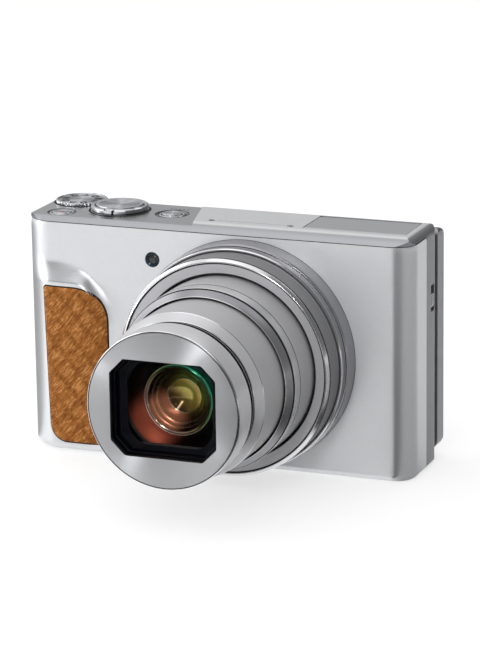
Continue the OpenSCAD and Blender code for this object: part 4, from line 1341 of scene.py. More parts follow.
    def lamp(self) -> Object:
        """The focus lamp's round window with its inner lens.

        Returns:
            The new piece.
        """
        box = Box.of("lamp_window")
        at = (box.middle.x, self.front, box.middle.z)
        rings = [Ring(2.02, -1.5), Ring(2.02, -0.05), Ring(1.86, 0.0), Ring(1.80, -0.16),
                 Ring(1.25, -0.34), Ring(1.2, -0.5, 1), Ring(0.85, -0.38, 1),
                 Ring(0.4, -0.3, 1), Ring(0, -0.28, 1)]
        shape = Shape()
        shape.loops(turned_loops(rings, at, Facing.FRONT, 72), [r.kind for r in rings])
        return shape.object("lamp_glass", [Finishes.lamp, Finishes.sleeve], self.effects,
                            at, 40)

    def build(self) -> None:
        """Makes and dresses the body's own pieces."""
        dress(self.front_shell(), "camera_body", "silver_shell", "front_shell")
        dress(self.lamp(), "camera_body", "lamp_glass", "lamp_window")
        dress(self.seam_line(), "camera_body", "black_plastic")


@dataclass
class Grip:
    """The leather pad on the grip."""

    effects: Effects
    body: Body
    corners: tuple = ((-46.5, 3.1, 5.0), (-29.8, 3.1, 2.5), (-29.8, 46.0, 9.5),
                      (-47.9, 46.0, 1.2))
    proud: float = 0.34

    def loop(self, inset: float, height: float) -> list[Point]:
        """A loop of the pad at a height above the shell's skin."""
        return [(x, self.body.skin(x, z) - height, z)
                for x, z in rounded_outline(self.corners, inset, 14, 24)]

    def pad(self) -> Object:
        """The pad with its soft rolled edge.

        Returns:
            The new piece.
        """
        steps = [(0.0, -0.25), (0.02, 0.08), (0.12, 0.2), (0.3, 0.29), (0.6, 0.33)]
        steps += [(0.6 + 0.42 * k, self.proud) for k in range(1, 19)]
        shape = Shape()
        loops = [self.loop(inset, height) for inset, height in steps]
        shape.loops(loops)
        shape.cap(loops[-1])
        return shape.object("leather_pad", [Finishes.leather], self.effects, sharp=80)

    def trench(self) -> Object:
        """The dark joint around the pad, moved out at the top and right, and less at the bottom, as
        painted shade.

        Returns:
            The new piece.
        """
        shape = Shape()
        # the outline is moved out at the top and right, less at the bottom: painted shade beside the pad
        wide = [(x + (0.22 if x > -40 else 0.0), z + (0.2 if z > 20 else -0.12), r)
                for x, z, r in self.corners]
        loops = [[(x, self.body.skin(x, z) - height, z)
                  for x, z in rounded_outline(wide, inset, 14, 24)]
                 for inset, height in ((0.3, 0.014), (-0.16, 0.014), (-0.2, -0.02))]
        shape.loops(loops)
        return shape.object("pad_joint_and_shade", [Finishes.joint_and_shade], self.effects)

    def build(self) -> None:
        """Makes and dresses the pad."""
        dress(self.pad(), "camera_body", "grip_leather", "grip_pad")
        dress(self.trench(), "camera_body", "black_plastic")


# The lens --------------------------------------------------------------------


@dataclass
class Lens:
    """The fixed ring, the three barrels, the cap and the glass."""

    effects: Effects
    bezel_step: float = 5.7
    bezel_height: float = 8.8
    mouth: tuple[float, float] = (28.2, 24.8)
    mouth_cut: float = 3.7
    baffle: tuple[float, float] = (22.8, 21.6)
    baffle_cut: float = 3.4
    axis: Vector = field(init=False)
    front: float = field(init=False)

    def __post_init__(self) -> None:
        """Takes the axis from the frame."""
        middle = Box.of("barrel_1").middle
        self.front = Box.of("lens_housing").low.y
        self.axis = Vector((middle.x, self.front, middle.z))

    def turn(self, name: str, rings: Sequence[Ring], finishes: Sequence[Finish],
             sharp: float = 24.0) -> Object:
        """A ring-shaped piece around the lens axis; heights are from the front face.

        Args:
            name: The piece's name.
            rings: Its profile.
            finishes: The finish that each kind number stands for.
            sharp: The angle over which an edge stays crisp.

        Returns:
            The new piece.
        """
        shape = Shape()
        shape.loops(turned_loops(rings, tuple(self.axis), Facing.FRONT, LENS_STEPS),
                    [r.kind for r in rings])
        return shape.object(name, finishes, self.effects, tuple(self.axis), sharp)

    def bezel(self) -> Object:
        """The fixed ring: a wide step, then a narrow one with cut grooves.

        Returns:
            The new piece.
        """
        s, h = self.bezel_step, self.bezel_height
        rings = [Ring(29.4, 0), Ring(30.5, 0), Ring(30.5, 0.12, 2), Ring(30.42, 0.14, 0),
                 Ring(30.42, s - 0.45), Ring(30.1, s - 0.02, 1), Ring(29.98, s, 2),
                 Ring(29.78, s + 0.02, 2), Ring(29.78, s + 0.3, 0), Ring(29.95, s + 0.38, 0),
                 Ring(29.95, s + 1.3, 0), Ring(29.72, s + 1.36, 2), Ring(29.72, s + 1.62, 0),
                 Ring(29.95, s + 1.7, 0), Ring(29.95, h - 0.3, 1), Ring(29.72, h, 0),
                 Ring(29.4, h, 2), Ring(29.36, h - 0.6, 2), Ring(29.36, 0, 2)]
        return self.turn("lens_ring", rings, [Finishes.bezel, Finishes.lip, Finishes.joint_and_shade])

    def large_barrel(self) -> Object:
        """The large barrel with its polished chamfer and dished face.

        Returns:
            The new piece.
        """
        # the black bands behind the lip and on the face's inner edge run wider than the real grooves:
        # painted shade lines
        rings = [Ring(28.3, -4.0), Ring(29.1, -4.0), Ring(29.1, 9.4), Ring(29.06, 9.5, 3),
                 Ring(29.06, 9.62, 0), Ring(29.1, 9.7), Ring(29.1, 15.3, 2),
                 Ring(29.04, 15.4, 2), Ring(29.04, 15.8, 2), Ring(29.08, 15.9, 1),
                 Ring(28.98, 15.98, 1), Ring(28.42, 16.72, 1), Ring(28.3, 16.78, 1),
                 Ring(28.12, 16.74, 2), Ring(28.04, 16.36, 2), Ring(27.72, 16.32, 3),
                 Ring(27.64, 16.40, 3), Ring(26.6, 15.86, 3), Ring(25.25, 15.38, 3),
                 Ring(25.1, 15.32, 2), Ring(24.75, 15.2, 2), Ring(24.62, 15.0, 2),
                 Ring(24.62, 12.3, 2)]
        kinds = [Finishes.shaded, Finishes.lip, Finishes.joint_and_shade, Finishes.dish]
        return self.turn("large_barrel", rings, kinds)

    def middle_barrel(self) -> Object:
        """The middle barrel: matt side, polished band, bevelled face.

        Returns:
            The new piece.
        """
        # the black bands beside the polished band and at the face's inner edge run wider than the real
        # grooves: painted shade lines
        rings = [Ring(23.5, 9.0), Ring(24.3, 9.0), Ring(24.3, 24.3, 2), Ring(24.16, 24.36, 2),
                 Ring(24.16, 24.5, 1), Ring(24.28, 24.58, 1), Ring(24.28, 28.0, 1),
                 Ring(24.2, 28.16, 2), Ring(23.9, 28.2, 2), Ring(23.86, 28.7, 3),
                 Ring(23.98, 28.78, 3), Ring(23.4, 29.34, 3), Ring(22.56, 30.12, 1),
                 Ring(22.44, 30.3, 2), Ring(22.2, 30.2, 2), Ring(22.12, 29.8, 2),
                 Ring(22.12, 27.2, 2)]
        kinds = [Finishes.barrel, Finishes.band, Finishes.joint_and_shade, Finishes.bezel]
        return self.turn("middle_barrel", rings, kinds)

    def small_barrel(self) -> Object:
        """The small barrel: matt side and a bright cone towards the cap.

        Returns:
            The new piece.
        """
        rings = [Ring(20.9, 26.4), Ring(21.8, 26.4), Ring(21.8, 43.2, 1), Ring(21.7, 43.42, 3),
                 Ring(20.2, 45.86, 1), Ring(20.05, 46.0, 2), Ring(14.0, 46.0, 2),
                 Ring(14.0, 43.0, 2), Ring(20.9, 43.0, 2)]
        kinds = [Finishes.barrel, Finishes.lip, Finishes.joint_and_shade, Finishes.collar]
        return self.turn("small_barrel", rings, kinds)

    def mouth_loop(self, width: float, height: float, cut: float, radius: float, deep: float,
                   steps: int = LENS_STEPS) -> list[Point]:
        """A loop around the cut-cornered mouth, with a point at each angle.

        Args:
            width: Width of the opening.
            height: Height of the opening.
            cut: How much each corner loses.
            radius: Rounding of each bend.
            deep: Distance in front of the body.
            steps: Points in the loop.

        Returns:
            The loop, counted by angle as a turned ring is.
        """
        w, h = width / 2, height / 2
        corners = [(w, -h + cut, radius), (w, h - cut, radius), (w - cut, h, radius),
                   (-w + cut, h, radius), (-w, h - cut, radius), (-w, -h + cut, radius),
                   (-w + cut, -h, radius), (w - cut, -h, radius)]
        line = rounded_outline(corners, 0.0, 6, 8)
        polar = sorted((math.atan2(b, a) % (2 * math.pi), math.hypot(a, b)) for a, b in line)
        polar = [(polar[-1][0] - 2 * math.pi, polar[-1][1])] + polar
        polar.append((polar[1][0] + 2 * math.pi, polar[1][1]))
        loop = []
        k = 0
        for i in range(steps):
            angle = 2 * math.pi * i / steps
            while polar[k + 1][0] < angle:
                k += 1
            (a0, r0), (a1, r1) = polar[k], polar[k + 1]
            share = (angle - a0) / max(a1 - a0, 1e-9)
            p0 = Vector((math.cos(a0), math.sin(a0))) * r0
            p1 = Vector((math.cos(a1), math.sin(a1))) * r1
            cross = (p1 - p0)
            ray = Vector((math.cos(angle), math.sin(angle)))
            below = ray.x * cross.y - ray.y * cross.x
            reach = ((p0.x * cross.y - p0.y * cross.x) / below if abs(below) > 1e-9
                     else r0 + (r1 - r0) * share)
            loop.append((self.axis.x + ray.x * reach, self.front - deep,
                         self.axis.z + ray.y * reach))
        return loop

    def cap(self) -> Object:
        """The front cap: grooves, a thin bright ring, a spun face and the mouth.

        Returns:
            The new piece.
        """
        rings = [Ring(19.3, 46.0, 2), Ring(19.4, 46.05, 2), Ring(19.4, 47.05, 2),
                 Ring(20.12, 47.12, 3), Ring(20.26, 47.2, 3), Ring(20.26, 47.36, 2),
                 Ring(20.12, 47.44, 2), Ring(19.4, 47.5, 2), Ring(19.4, 48.8, 2),
                 Ring(20.36, 48.88, 1), Ring(20.45, 49.0, 3), Ring(20.45, 56.5, 1),
                 Ring(20.4, 56.68, 1), Ring(20.2, 56.86, 2), Ring(20.12, 56.74, 2),
                 Ring(19.98, 56.74, 0), Ring(19.9, 56.9, 0), Ring(19.6, 56.97, 0)]
        loops = turned_loops(rings, tuple(self.axis), Facing.FRONT, LENS_STEPS)
        kinds = [r.kind for r in rings]
        w, h = self.mouth
        for grow, deep in ((0.5, 56.98), (0.16, 56.97), (0.02, 56.86)):
            loops.append(self.mouth_loop(w + grow, h + grow, self.mouth_cut, 0.8, deep))
        kinds[-1] = 0
        kinds += [0, 1, 1]
        loops.append(self.mouth_loop(w, h, self.mouth_cut, 0.7, 56.05))
        shape = Shape()
        shape.loops(loops, kinds)
        return shape.object("front_cap_dressed", [Finishes.cap, Finishes.lip, Finishes.joint_and_shade,
                                                  Finishes.collar], self.effects,
                            tuple(self.axis), 24)

    def hood(self) -> Object:
        """The black frame behind the mouth, with the rounded baffle at its foot.

        Returns:
            The new piece.
        """
        w, h = self.mouth
        cut = self.mouth_cut
        steps = [(0.0, cut, 0.7, 56.9), (0.1, cut, 0.7, 56.1), (0.5, cut, 0.8, 54.6),
                 (0.9, cut, 0.9, 54.5), (1.3, cut, 1.0, 52.7), (1.7, cut, 1.1, 52.5)]
        loops = [self.mouth_loop(w - a, h - a, c, r, deep) for a, c, r, deep in steps]
        bw, bh = self.baffle
        for grow, deep in ((0.3, 52.2), (0.0, 52.1), (0.0, 51.6)):
            loops.append(self.mouth_loop(bw + grow, bh + grow, self.baffle_cut, 5.0, deep))
        shape = Shape()
        shape.loops(loops, [1, 0, 0, 0, 0, 0, 0, 0])
        outer = turned_loops([Ring(19.3, 51.6), Ring(19.3, 56.0)], tuple(self.axis),
                             Facing.FRONT, LENS_STEPS)
        shape.loops([loops[-1], outer[0], outer[1]])
        return shape.object("hood", [Finishes.frame, Finishes.black], self.effects,
                            tuple(self.axis), 20)

    def glass(self) -> list[Object]:
        """The front glass and what shows behind it: cone, bowl and the heart.

        Returns:
            The pieces, the front glass first.
        """
        made = []
        dome = [Ring(13.3, 48.4), Ring(13.3, 48.6), Ring(12.6, 48.82), Ring(10.5, 49.12),
                Ring(8, 49.38), Ring(5, 49.58), Ring(2.4, 49.66), Ring(0, 49.68)]
        made.append(self.turn("front_glass_dome", dome, [Finishes.outer_glass], 60))
        cone = [Ring(13.9, 49.0, 2), Ring(13.5, 48.3, 0), Ring(12.6, 47.7), Ring(11.4, 47.2),
                Ring(10.2, 46.8), Ring(9.2, 46.55, 1), Ring(8.8, 46.62, 1), Ring(8.6, 46.72, 1),
                Ring(8.4, 46.6, 1), Ring(8.3, 46.2, 1)]
        made.append(self.turn("inner_cone", cone, [Finishes.cone, Finishes.ring, Finishes.black],
                              40))
        heart = [Ring(8.3, 46.3), Ring(7.9, 45.5), Ring(7.6, 45.35, 1), Ring(7.5, 45.0),
                 Ring(6.9, 44.2), Ring(6.7, 44.15, 1), Ring(6.55, 43.8), Ring(5.9, 43.1),
                 Ring(5.2, 42.55), Ring(4.8, 42.3, 1), Ring(4.62, 42.42, 1),
                 Ring(4.42, 42.3, 1), Ring(4.36, 42.0, 2)]
        bowl = 8.0
        for k in range(1, 17):
            angle = math.asin(4.3 / bowl) * (1 - k / 16)
            heart.append(Ring(bowl * math.sin(angle), 42.0 - bowl
                              * (math.cos(angle) - math.cos(math.asin(4.3 / bowl))), 2))
        made.append(self.turn("inner_element", heart, [Finishes.bowl_glass, Finishes.ring,
                                                       Finishes.heart_glass], 40))
        return made

    def build(self) -> None:
        """Makes and dresses the lens."""
        dress(self.bezel(), "camera_body", "turned_metal", "lens_bezel")
        dress(self.large_barrel(), "large_barrel", "turned_metal", "barrel_1")
        dress(self.middle_barrel(), "middle_barrel", "turned_metal", "barrel_2")
        dress(self.small_barrel(), "small_barrel", "turned_metal", "barrel_3")
        dress(self.cap(), "small_barrel", "cap_metal", "front_cap")
        dress(self.hood(), "small_barrel", "black_plastic", "aperture_frame")
        glass = self.glass()
        dress(glass[0], "small_barrel", "front_glass", "front_element")
        for piece in glass[1:]:
            dress(piece, "small_barrel", "front_glass")


# The deck --------------------------------------------------------------------


@dataclass
class Deck:
    """Dials, buttons and marks on the top of the body."""

    effects: Effects
    level: float = 64.5
    dial_top: float = 0.68
    teeth: int = 44

    def turn(self, name: str, at: Vector, rings: Sequence[Ring], finishes: Sequence[Finish],
             teeth: int = 0, steps: int = 192) -> Object:
        """A piece turned about an upright axis; heights are from the deck.

        Args:
            name: The piece's name.
            at: Its axis.
            rings: Its profile.
            finishes: The finish that each kind number stands for.
            teeth: How many knurls it has.
            steps: Points around each ring.

        Returns:
            The new piece.
        """
        base = (at.x, at.y, self.level)
        shape = Shape()
        shape.loops(turned_loops(rings, base, Facing.UP, steps, teeth), [r.kind for r in rings])
        return shape.object(name, finishes, self.effects, base, 28)

    def mode_dial(self) -> None:
        """The mode dial: knurled rim, spun face and plain marks."""
        at = Box.of("mode_dial").middle
        steps = self.teeth * 8
        rings = [Ring(0, -0.6, 1), Ring(6.6, -0.6, 1), Ring(7.08, -0.45, 1, 0.22),
                 Ring(7.08, 0.62, 1, 0.22), Ring(6.86, 0.82, 1, 0.05), Ring(6.5, 0.86, 1),
                 Ring(6.36, 0.74, 1), Ring(6.3, 0.66, 0), Ring(2.0, 0.70, 0), Ring(0, 0.705)]
        dial = self.turn("mode_dial_dressed", at, rings, [Finishes.dial, Finishes.rim],
                         self.teeth, steps)
        dress(dial, "mode_dial", "cap_metal", "mode_dial")
        shape = Shape()
        count = 9
        for i in range(count):
            angle = 2 * math.pi * i / count + 0.35
            middle = Vector((at.x + 4.5 * math.cos(angle), at.y + 4.5 * math.sin(angle)))
            self.mark(shape, middle, angle, Mark(i % 4), 1.3)
            tick = Vector((at.x + 5.9 * math.cos(angle), at.y + 5.9 * math.sin(angle)))
            self.bar(shape, tick, angle, 0.5, 0.14, self.level + self.dial_top)
        marks = shape.object("dial_marks", [Finishes.ink], self.effects)
        dress(marks, "mode_dial", "cap_metal")

    def bar(self, shape: Shape, at: Vector, angle: float, length: float, width: float,
            z: float) -> None:
        """A printed bar that points along an angle.

        Args:
            shape: The mesh to add to.
            at: The middle.
            angle: Where it points.
            length: Its length.
            width: Its width.
            z: Its foot.
        """
        along = Vector((math.cos(angle), math.sin(angle))) * length / 2
        side = Vector((-math.sin(angle), math.cos(angle))) * width / 2
        corners = [at - along - side, at + along - side, at + along + side, at - along + side]
        shape.prism([(p.x, p.y, z) for p in corners], (0, 0, PRINT))

    def mark(self, shape: Shape, at: Vector, angle: float, kind: Mark, size: float) -> None:
        """One plain printed mark of the dial: square, ring, bars or triangle.

        Args:
            shape: The mesh to add to.
            at: The middle.
            angle: Where it points.
            kind: Which mark it is.
            size: Its size.
        """
        z = self.level + self.dial_top
        if kind is Mark.BARS:
            for shift in (-0.62 * size, 0.0, 0.62 * size):
                side = Vector((-math.sin(angle), math.cos(angle))) * shift
                self.bar(shape, at + side, angle, 1.5 * size, 0.42, z)
            return
        sides = {Mark.RING: 24, Mark.TRIANGLE: 3, Mark.SQUARE: 4}[kind]
        radius = (0.85 if kind is Mark.RING else 1.0) * size
        outer, inner = [], []
        for k in range(sides):
            a = angle + 2 * math.pi * k / sides + (math.pi / 4 if kind is Mark.SQUARE else 0)
            way = Vector((math.cos(a), math.sin(a)))
            outer.append((at.x + way.x * radius, at.y + way.y * radius, z))
            inner.append((at.x + way.x * radius * 0.45, at.y + way.y * radius * 0.45, z))
        top_outer = [(x, y, z + PRINT) for x, y, z in outer]
        top_inner = [(x, y, z + PRINT) for x, y, z in inner]
        shape.loops([inner, outer, top_outer, top_inner, inner])

    def zoom_ring(self) -> None:
        """The zoom ring with its finger tab."""
        box = Box.of("shutter_button")
        at = box.middle
        rings = [Ring(6.6, -0.35, 2), Ring(7.8, -0.35, 2), Ring(7.88, -0.2, 1),
                 Ring(7.88, 0.02, 0), Ring(7.62, 0.12, 2), Ring(7.5, 0.2, 2),
                 Ring(7.5, 0.34, 0), Ring(7.78, 0.42, 0), Ring(7.88, 0.55, 0),
                 Ring(7.88, 1.1, 1), Ring(7.7, 1.42, 1), Ring(7.4, 1.6, 1), Ring(6.9, 1.6, 1),
                 Ring(6.62, 1.4, 2), Ring(6.58, 0.2, 2), Ring(6.58, -0.3, 2)]
        ring = self.turn("zoom_ring", at, rings, [Finishes.dial, Finishes.rim, Finishes.joint_and_shade])
        cut = Shape()
        for side in (-1, 1):
            x = at.x + side * 1.25
            cut.box((x - 0.16, at.y - 9.5, self.level + 0.36),
                    (x + 0.16, at.y - 7.2, self.level + 1.75))
        carve(ring, cut, self.effects, 28)
        dress(ring, "zoom_lever", "cap_metal", "zoom_lever")
        shape = Shape()
        outline = []
        for k in range(-6, 7):
            a = -math.pi / 2 + 0.022 * k
            outline.append((at.x + 8.55 * math.cos(a), at.y + 8.55 * math.sin(a)))
        for k in range(6, -7, -1):
            a = -math.pi / 2 + 0.024 * k
            outline.append((at.x + 7.5 * math.cos(a), at.y + 7.5 * math.sin(a)))
        rows = [(0.3, 0.0), (0.42, 0.12), (1.2, 0.12), (1.45, 0.0)]
        loops = []
        for z, out in rows:
            loops.append([(at.x + (x - at.x) * (1 + out * 0.012),
                           at.y + (y - at.y) * (1 + out * 0.012), self.level + z)
                          for x, y in outline])
        shape.loops(loops, 0)
        shape.cap(loops[0])
        shape.cap(loops[-1])
        dress(shape.object("zoom_tab", [Finishes.rim], self.effects, sharp=40), "zoom_lever",
              "cap_metal")

    def shutter(self) -> None:
        """The dished shutter button."""
        at = Box.of("shutter_button").middle
        rings = [Ring(0, 0.3, 1), Ring(6.3, 0.3, 1), Ring(6.42, 0.45, 1), Ring(6.42, 1.66, 1),
                 Ring(6.3, 1.84, 1), Ring(6.0, 1.9, 1), Ring(5.6, 1.84, 0), Ring(4.4, 1.7, 0),
                 Ring(3.0, 1.6, 0), Ring(1.5, 1.54, 0), Ring(0, 1.53, 0)]
        button = self.turn("shutter_dressed", at, rings, [Finishes.dial, Finishes.rim])
        dress(button, "shutter_button", "cap_metal", "shutter_button")

    def small_button(self, node: str, ring_out: float, ring_in: float, top: float,
                     dot: bool) -> None:
        """A small push button in a turned ring.

        Args:
            node: The CAD node that the button stands for.
            ring_out: The ring's outer radius.
            ring_in: The ring's inner radius.
            top: Height of the button above the deck.
            dot: Whether the button has a red dot.
        """
        at = Box.of(node).middle
        r = ring_in - 0.18
        cap = [Ring(0, -0.9, 0), Ring(r, -0.9, 1), Ring(r, top - 0.16, 1),
               Ring(r - 0.14, top - 0.03, 1), Ring(r - 0.4, top, 0), Ring(r * 0.5, top - 0.07, 0),
               Ring(0, top - 0.09, 0)]
        button = self.turn(node + "_dressed", at, cap, [Finishes.dial, Finishes.rim], steps=96)
        dress(button, node, "silver_shell", node)
        # the seat's outer slope takes the near-black finish: painted shade in the recess
        ring = [Ring(ring_in, -0.8, 2), Ring(ring_in, -0.1, 1), Ring(ring_in + 0.12, 0.0, 1),
                Ring(ring_in + 0.45, 0.0, 1), Ring(ring_in + 0.6, -0.14, 0),
                Ring(ring_out - 0.35, -0.34, 0), Ring(ring_out - 0.02, -0.30, 0)]
        seat = self.turn(node + "_seat", at, ring, [Finishes.shaded_well, Finishes.rim, Finishes.joint_and_shade],
                         steps=96)
        dress(seat, "camera_body", "silver_shell")
        if dot:
            spot = [Ring(0.75, top - 0.12), Ring(0.75, top - 0.05), Ring(0.62, top - 0.02),
                    Ring(0, top - 0.01)]
            dress(self.turn("movie_dot", at, spot, [Finishes.red], steps=48), node,
                  "silver_shell")

    def contact_shade_and_joints(self) -> None:
        """Flat dark rings on the deck around the dials and buttons as painted contact shade, and dark
        joints around the flash lid.
        """
        shape = Shape()
        # flat black rings on the deck: painted contact shade around each control
        for node, radius, width in (("mode_dial", 7.16, 0.42), ("zoom_ring", 7.95, 0.5),
                                    ("power_button", 4.42, 0.22), ("movie_button", 3.72, 0.2)):
            at = Box.of("shutter_button" if node == "zoom_ring" else node).middle
            rings = [Ring(radius, -0.02), Ring(radius, 0.012), Ring(radius + width, 0.012),
                     Ring(radius + width, -0.02)]
            shape.loops(turned_loops(rings, (at.x, at.y, self.level), Facing.UP, 96))
        lid = Box.of("flash_head")
        low, high = lid.low, lid.high
        top = Box.of("top_cover").high.z
        w = 0.16
        for a, b in (((low.x - w, low.y - w), (high.x + w, low.y)),
                     ((low.x - w, low.y), (low.x, high.y)),
                     ((high.x, low.y), (high.x + w, high.y))):
            shape.box((a[0], a[1], top - 0.5), (b[0], b[1], top - 0.02))
        dress(shape.object("deck_shade_and_joints", [Finishes.joint_and_shade], self.effects), "camera_body",
              "black_plastic")

    def marks(self) -> None:
        """Plain printed marks beside the controls."""
        shape = Shape()
        zoom = Box.of("shutter_button").middle
        for side in (-1, 1):
            for k in range(3 if side < 0 else 1):
                angle = -math.pi / 2 + side * (0.42 + 0.11 * k)
                at = Vector((zoom.x + 9.2 * math.cos(angle), zoom.y + 9.2 * math.sin(angle)))
                self.bar(shape, at, angle, 0.85, 0.26, self.level)
        power = Box.of("power_button").middle
        for k in range(5):
            at = Vector((power.x - 2.4 + 1.2 * k, power.y + 5.5))
            self.bar(shape, at, 0.0 if k % 2 else math.pi / 2, 0.8, 0.24, self.level)
        mode = Box.of("mode_dial").middle
        self.bar(shape, Vector((mode.x + 7.9, mode.y - 1.3)), -0.15, 0.9, 0.3, self.level)
        dress(shape.object("deck_marks", [Finishes.ink], self.effects), "camera_body",
              "cap_metal")

    def sound_slot(self) -> None:
        """The two sound holes and the bright inlay between them."""
        cover = Box.of("top_cover")
        shape = Shape()
        z = cover.high.z
        corners = ((-1.2, -5.15, 0.3), (18.0, -5.15, 0.3), (18.0, -4.25, 0.3), (-1.2, -4.25, 0.3))
        loops = []
        for inset, height in ((0.0, -0.05), (0.0, 0.015), (0.1, 0.04)):
            loops.append([(x, y, z + height) for x, y in rounded_outline(corners, inset, 5, 4)])
        shape.loops(loops)
        shape.cap(loops[-1])
        dress(shape.object("sound_inlay", [Finishes.lip], self.effects), "camera_body",
              "silver_shell")
        holes = Shape()
        for x in (-2.7, 19.5):
            rings = [Ring(0.62, -0.02), Ring(0.62, 0.012), Ring(0, 0.014)]
            holes.loops(turned_loops(rings, (x, -4.7, z), Facing.UP, 24))
        dress(holes.object("sound_holes", [Finishes.joint_and_shade], self.effects), "camera_body",
              "black_plastic")

    def build(self) -> None:
        """Makes and dresses everything on the deck."""
        self.mode_dial()
        self.zoom_ring()
        self.shutter()
        self.small_button("power_button", 4.45, 2.9, 0.35, False)
        self.small_button("movie_button", 3.75, 2.75, 0.2, True)
        self.contact_shade_and_joints()
        self.marks()
        self.sound_slot()


# The rear --------------------------------------------------------------------


@dataclass
class Rear:
    """The screen's display area and the controls beside it."""

    effects: Effects
    back: float = 12.0

    def display(self) -> None:
        """The screen's pane with the slightly lighter display in it."""
        box = Box.of("screen_pane")
        y = box.high.y
        shape = Shape()
        corners = ((box.low.x + 4, box.low.z + 4, 0.4), (box.high.x - 4, box.low.z + 4, 0.4),
                   (box.high.x - 4, box.high.z - 3, 0.4), (box.low.x + 4, box.high.z - 3, 0.4))
        outline = rounded_outline(corners, 0, 4, 4)
        shape.prism([(a, y - 0.3, b) for a, b in outline], (0, 0.29, 0))
        dress(shape.object("display_area", [Finishes.display], self.effects,
                           tuple(box.middle)), "screen", "screen_glass")

    def wheel(self) -> None:
        """The ridged control dial and the button in it."""
        box = Box.of("control_dial")
        at = (box.middle.x, self.back, box.middle.z)
        rings = [Ring(4.05, -1.0, 2), Ring(4.05, 0.7, 1), Ring(4.2, 0.86, 0), Ring(6.6, 0.72, 0),
                 Ring(7.9, 0.8, 1), Ring(8.6, 0.98, 1, 0.0), Ring(9.0, 0.9, 1, 0.2),
                 Ring(9.18, 0.6, 1, 0.26), Ring(9.18, -0.6, 1, 0.26), Ring(4.05, -0.65, 2)]
        shape = Shape()
        shape.loops(turned_loops(rings, at, Facing.REAR, 480, 60), [r.kind for r in rings])
        wheel = shape.object("wheel_dressed", [Finishes.wheel, Finishes.wheel, Finishes.joint_and_shade],
                             self.effects, at, 30)
        dress(wheel, "control_dial", "key_silver", "control_dial")
        rings = [Ring(0, -1.6), Ring(3.86, -1.6), Ring(3.86, 0.55), Ring(3.6, 0.76),
                 Ring(3.0, 0.8), Ring(1.5, 0.74), Ring(0, 0.72)]
        shape = Shape()
        shape.loops(turned_loops(rings, at, Facing.REAR, 96))
        dress(shape.object("set_dressed", [Finishes.wheel], self.effects, at, 30), "set_button",
              "key_silver", "set_button")
        marks = Shape()
        for k in range(4):
            angle = math.pi / 2 * k
            side = Vector((math.cos(angle), 0, math.sin(angle)))
            across = Vector((-math.sin(angle), 0, math.cos(angle)))
            middle = Vector(at) + side * 5.6 + Vector((0, 0.78, 0))
            corners = [middle + side * 0.55, middle - side * 0.35 + across * 0.6,
                       middle - side * 0.35 - across * 0.6]
            marks.prism([tuple(p) for p in corners], (0, PRINT, 0))
        dress(marks.object("wheel_marks", [Finishes.ink], self.effects), "control_dial",
              "key_silver")

    def keys(self) -> None:
        """Domed round keys with a plain mark beside each."""
        marks = Shape()
        for name in ("playback_button", "menu_button", "wireless_button"):
            box = Box.of(name)
            at = (box.middle.x, self.back, box.middle.z)
            rings = [Ring(0, -1.9), Ring(3.05, -1.9), Ring(3.05, -1.5), Ring(2.56, -1.45),
                     Ring(2.56, 0.35), Ring(2.4, 0.54), Ring(1.8, 0.59), Ring(0, 0.6)]
            shape = Shape()
            shape.loops(turned_loops(rings, at, Facing.REAR, 72))
            key = shape.object(name + "_dressed", [Finishes.keys], self.effects, at, 30)
            dress(key, name, "key_silver", name)
            for k in range(3):
                x = at[0] - 1.0 + k
                marks.box((x - 0.25, self.back, at[2] + 3.6),
                          (x + 0.25, self.back + PRINT, at[2] + 4.3))
        dress(marks.object("key_marks", [Finishes.ink], self.effects), "camera_body",
              "key_silver")

    def build(self) -> None:
        """Makes and dresses the rear."""
        self.display()
        self.wheel()
        self.keys()


@dataclass
class Underside:
    """The tripod socket's thread."""

    effects: Effects
    pitch: float = 1.27

    def thread(self) -> None:
        """The thread inside the tripod socket, as one winding ridge."""
        box = Box.of("tripod_socket")
        steps, depth = 48, 5.6
        turns = int(depth / self.pitch)
        loops = []
        for i in range(turns * steps + 1):
            angle = 2 * math.pi * i / steps
            z = 0.4 + self.pitch * i / steps
            loop = []
            for radius, rise in ((2.64, -0.45), (2.64, 0.45), (2.42, 0.0)):
                loop.append((box.middle.x + radius * math.cos(angle),
                             box.middle.y + radius * math.sin(angle), z + rise * 0.8))
            loops.append(loop)
        shape = Shape()
        shape.loops(loops)
        dress(shape.object("tripod_thread_ridge", [Finishes.steel], self.effects), "camera_body",
              "frame_steel")

    def build(self) -> None:
        """Makes and dresses the underside."""
        self.thread()


NODE_FINISHES: dict[str, Finish] = {
    node: finish for finish, nodes in (
        (Finishes.rear, "rear_shell"),
        (Finishes.deck, "top_cover"),
        (Finishes.shell, "battery_door port_door"),
        (Finishes.black, "lens_housing battery_tray speaker zoom_group focus_group"),
        (Finishes.steel, "chassis_plate tripod_socket hdmi_socket usb_socket case_screws "
                         "screen_bracket hinge_pins guide_rods zoom_motor"),
        (Finishes.board, "main_board top_board rear_board"),
        (Finishes.sensor, "image_sensor"),
        (Finishes.cell, "battery"),
        (Finishes.card, "memory_card"),
        (Finishes.gold, "battery_contacts"),
        (Finishes.lip, "strap_bar"),
        (Finishes.sleeve, "flash_capacitor"),
        (Finishes.blade, "blade_upper_outer blade_upper_inner blade_lower_outer blade_lower_inner"),
        (Finishes.acetal, "drive_ring drive_gear"),
        (Finishes.lid, "flash_head"),
        (Finishes.flash, "flash_window"),
        (Finishes.keys, "flash_switch door_latch"),
        (Finishes.screen, "screen_case"),
        (Finishes.pane, "screen_pane"),
    ) for node in nodes.split()
}


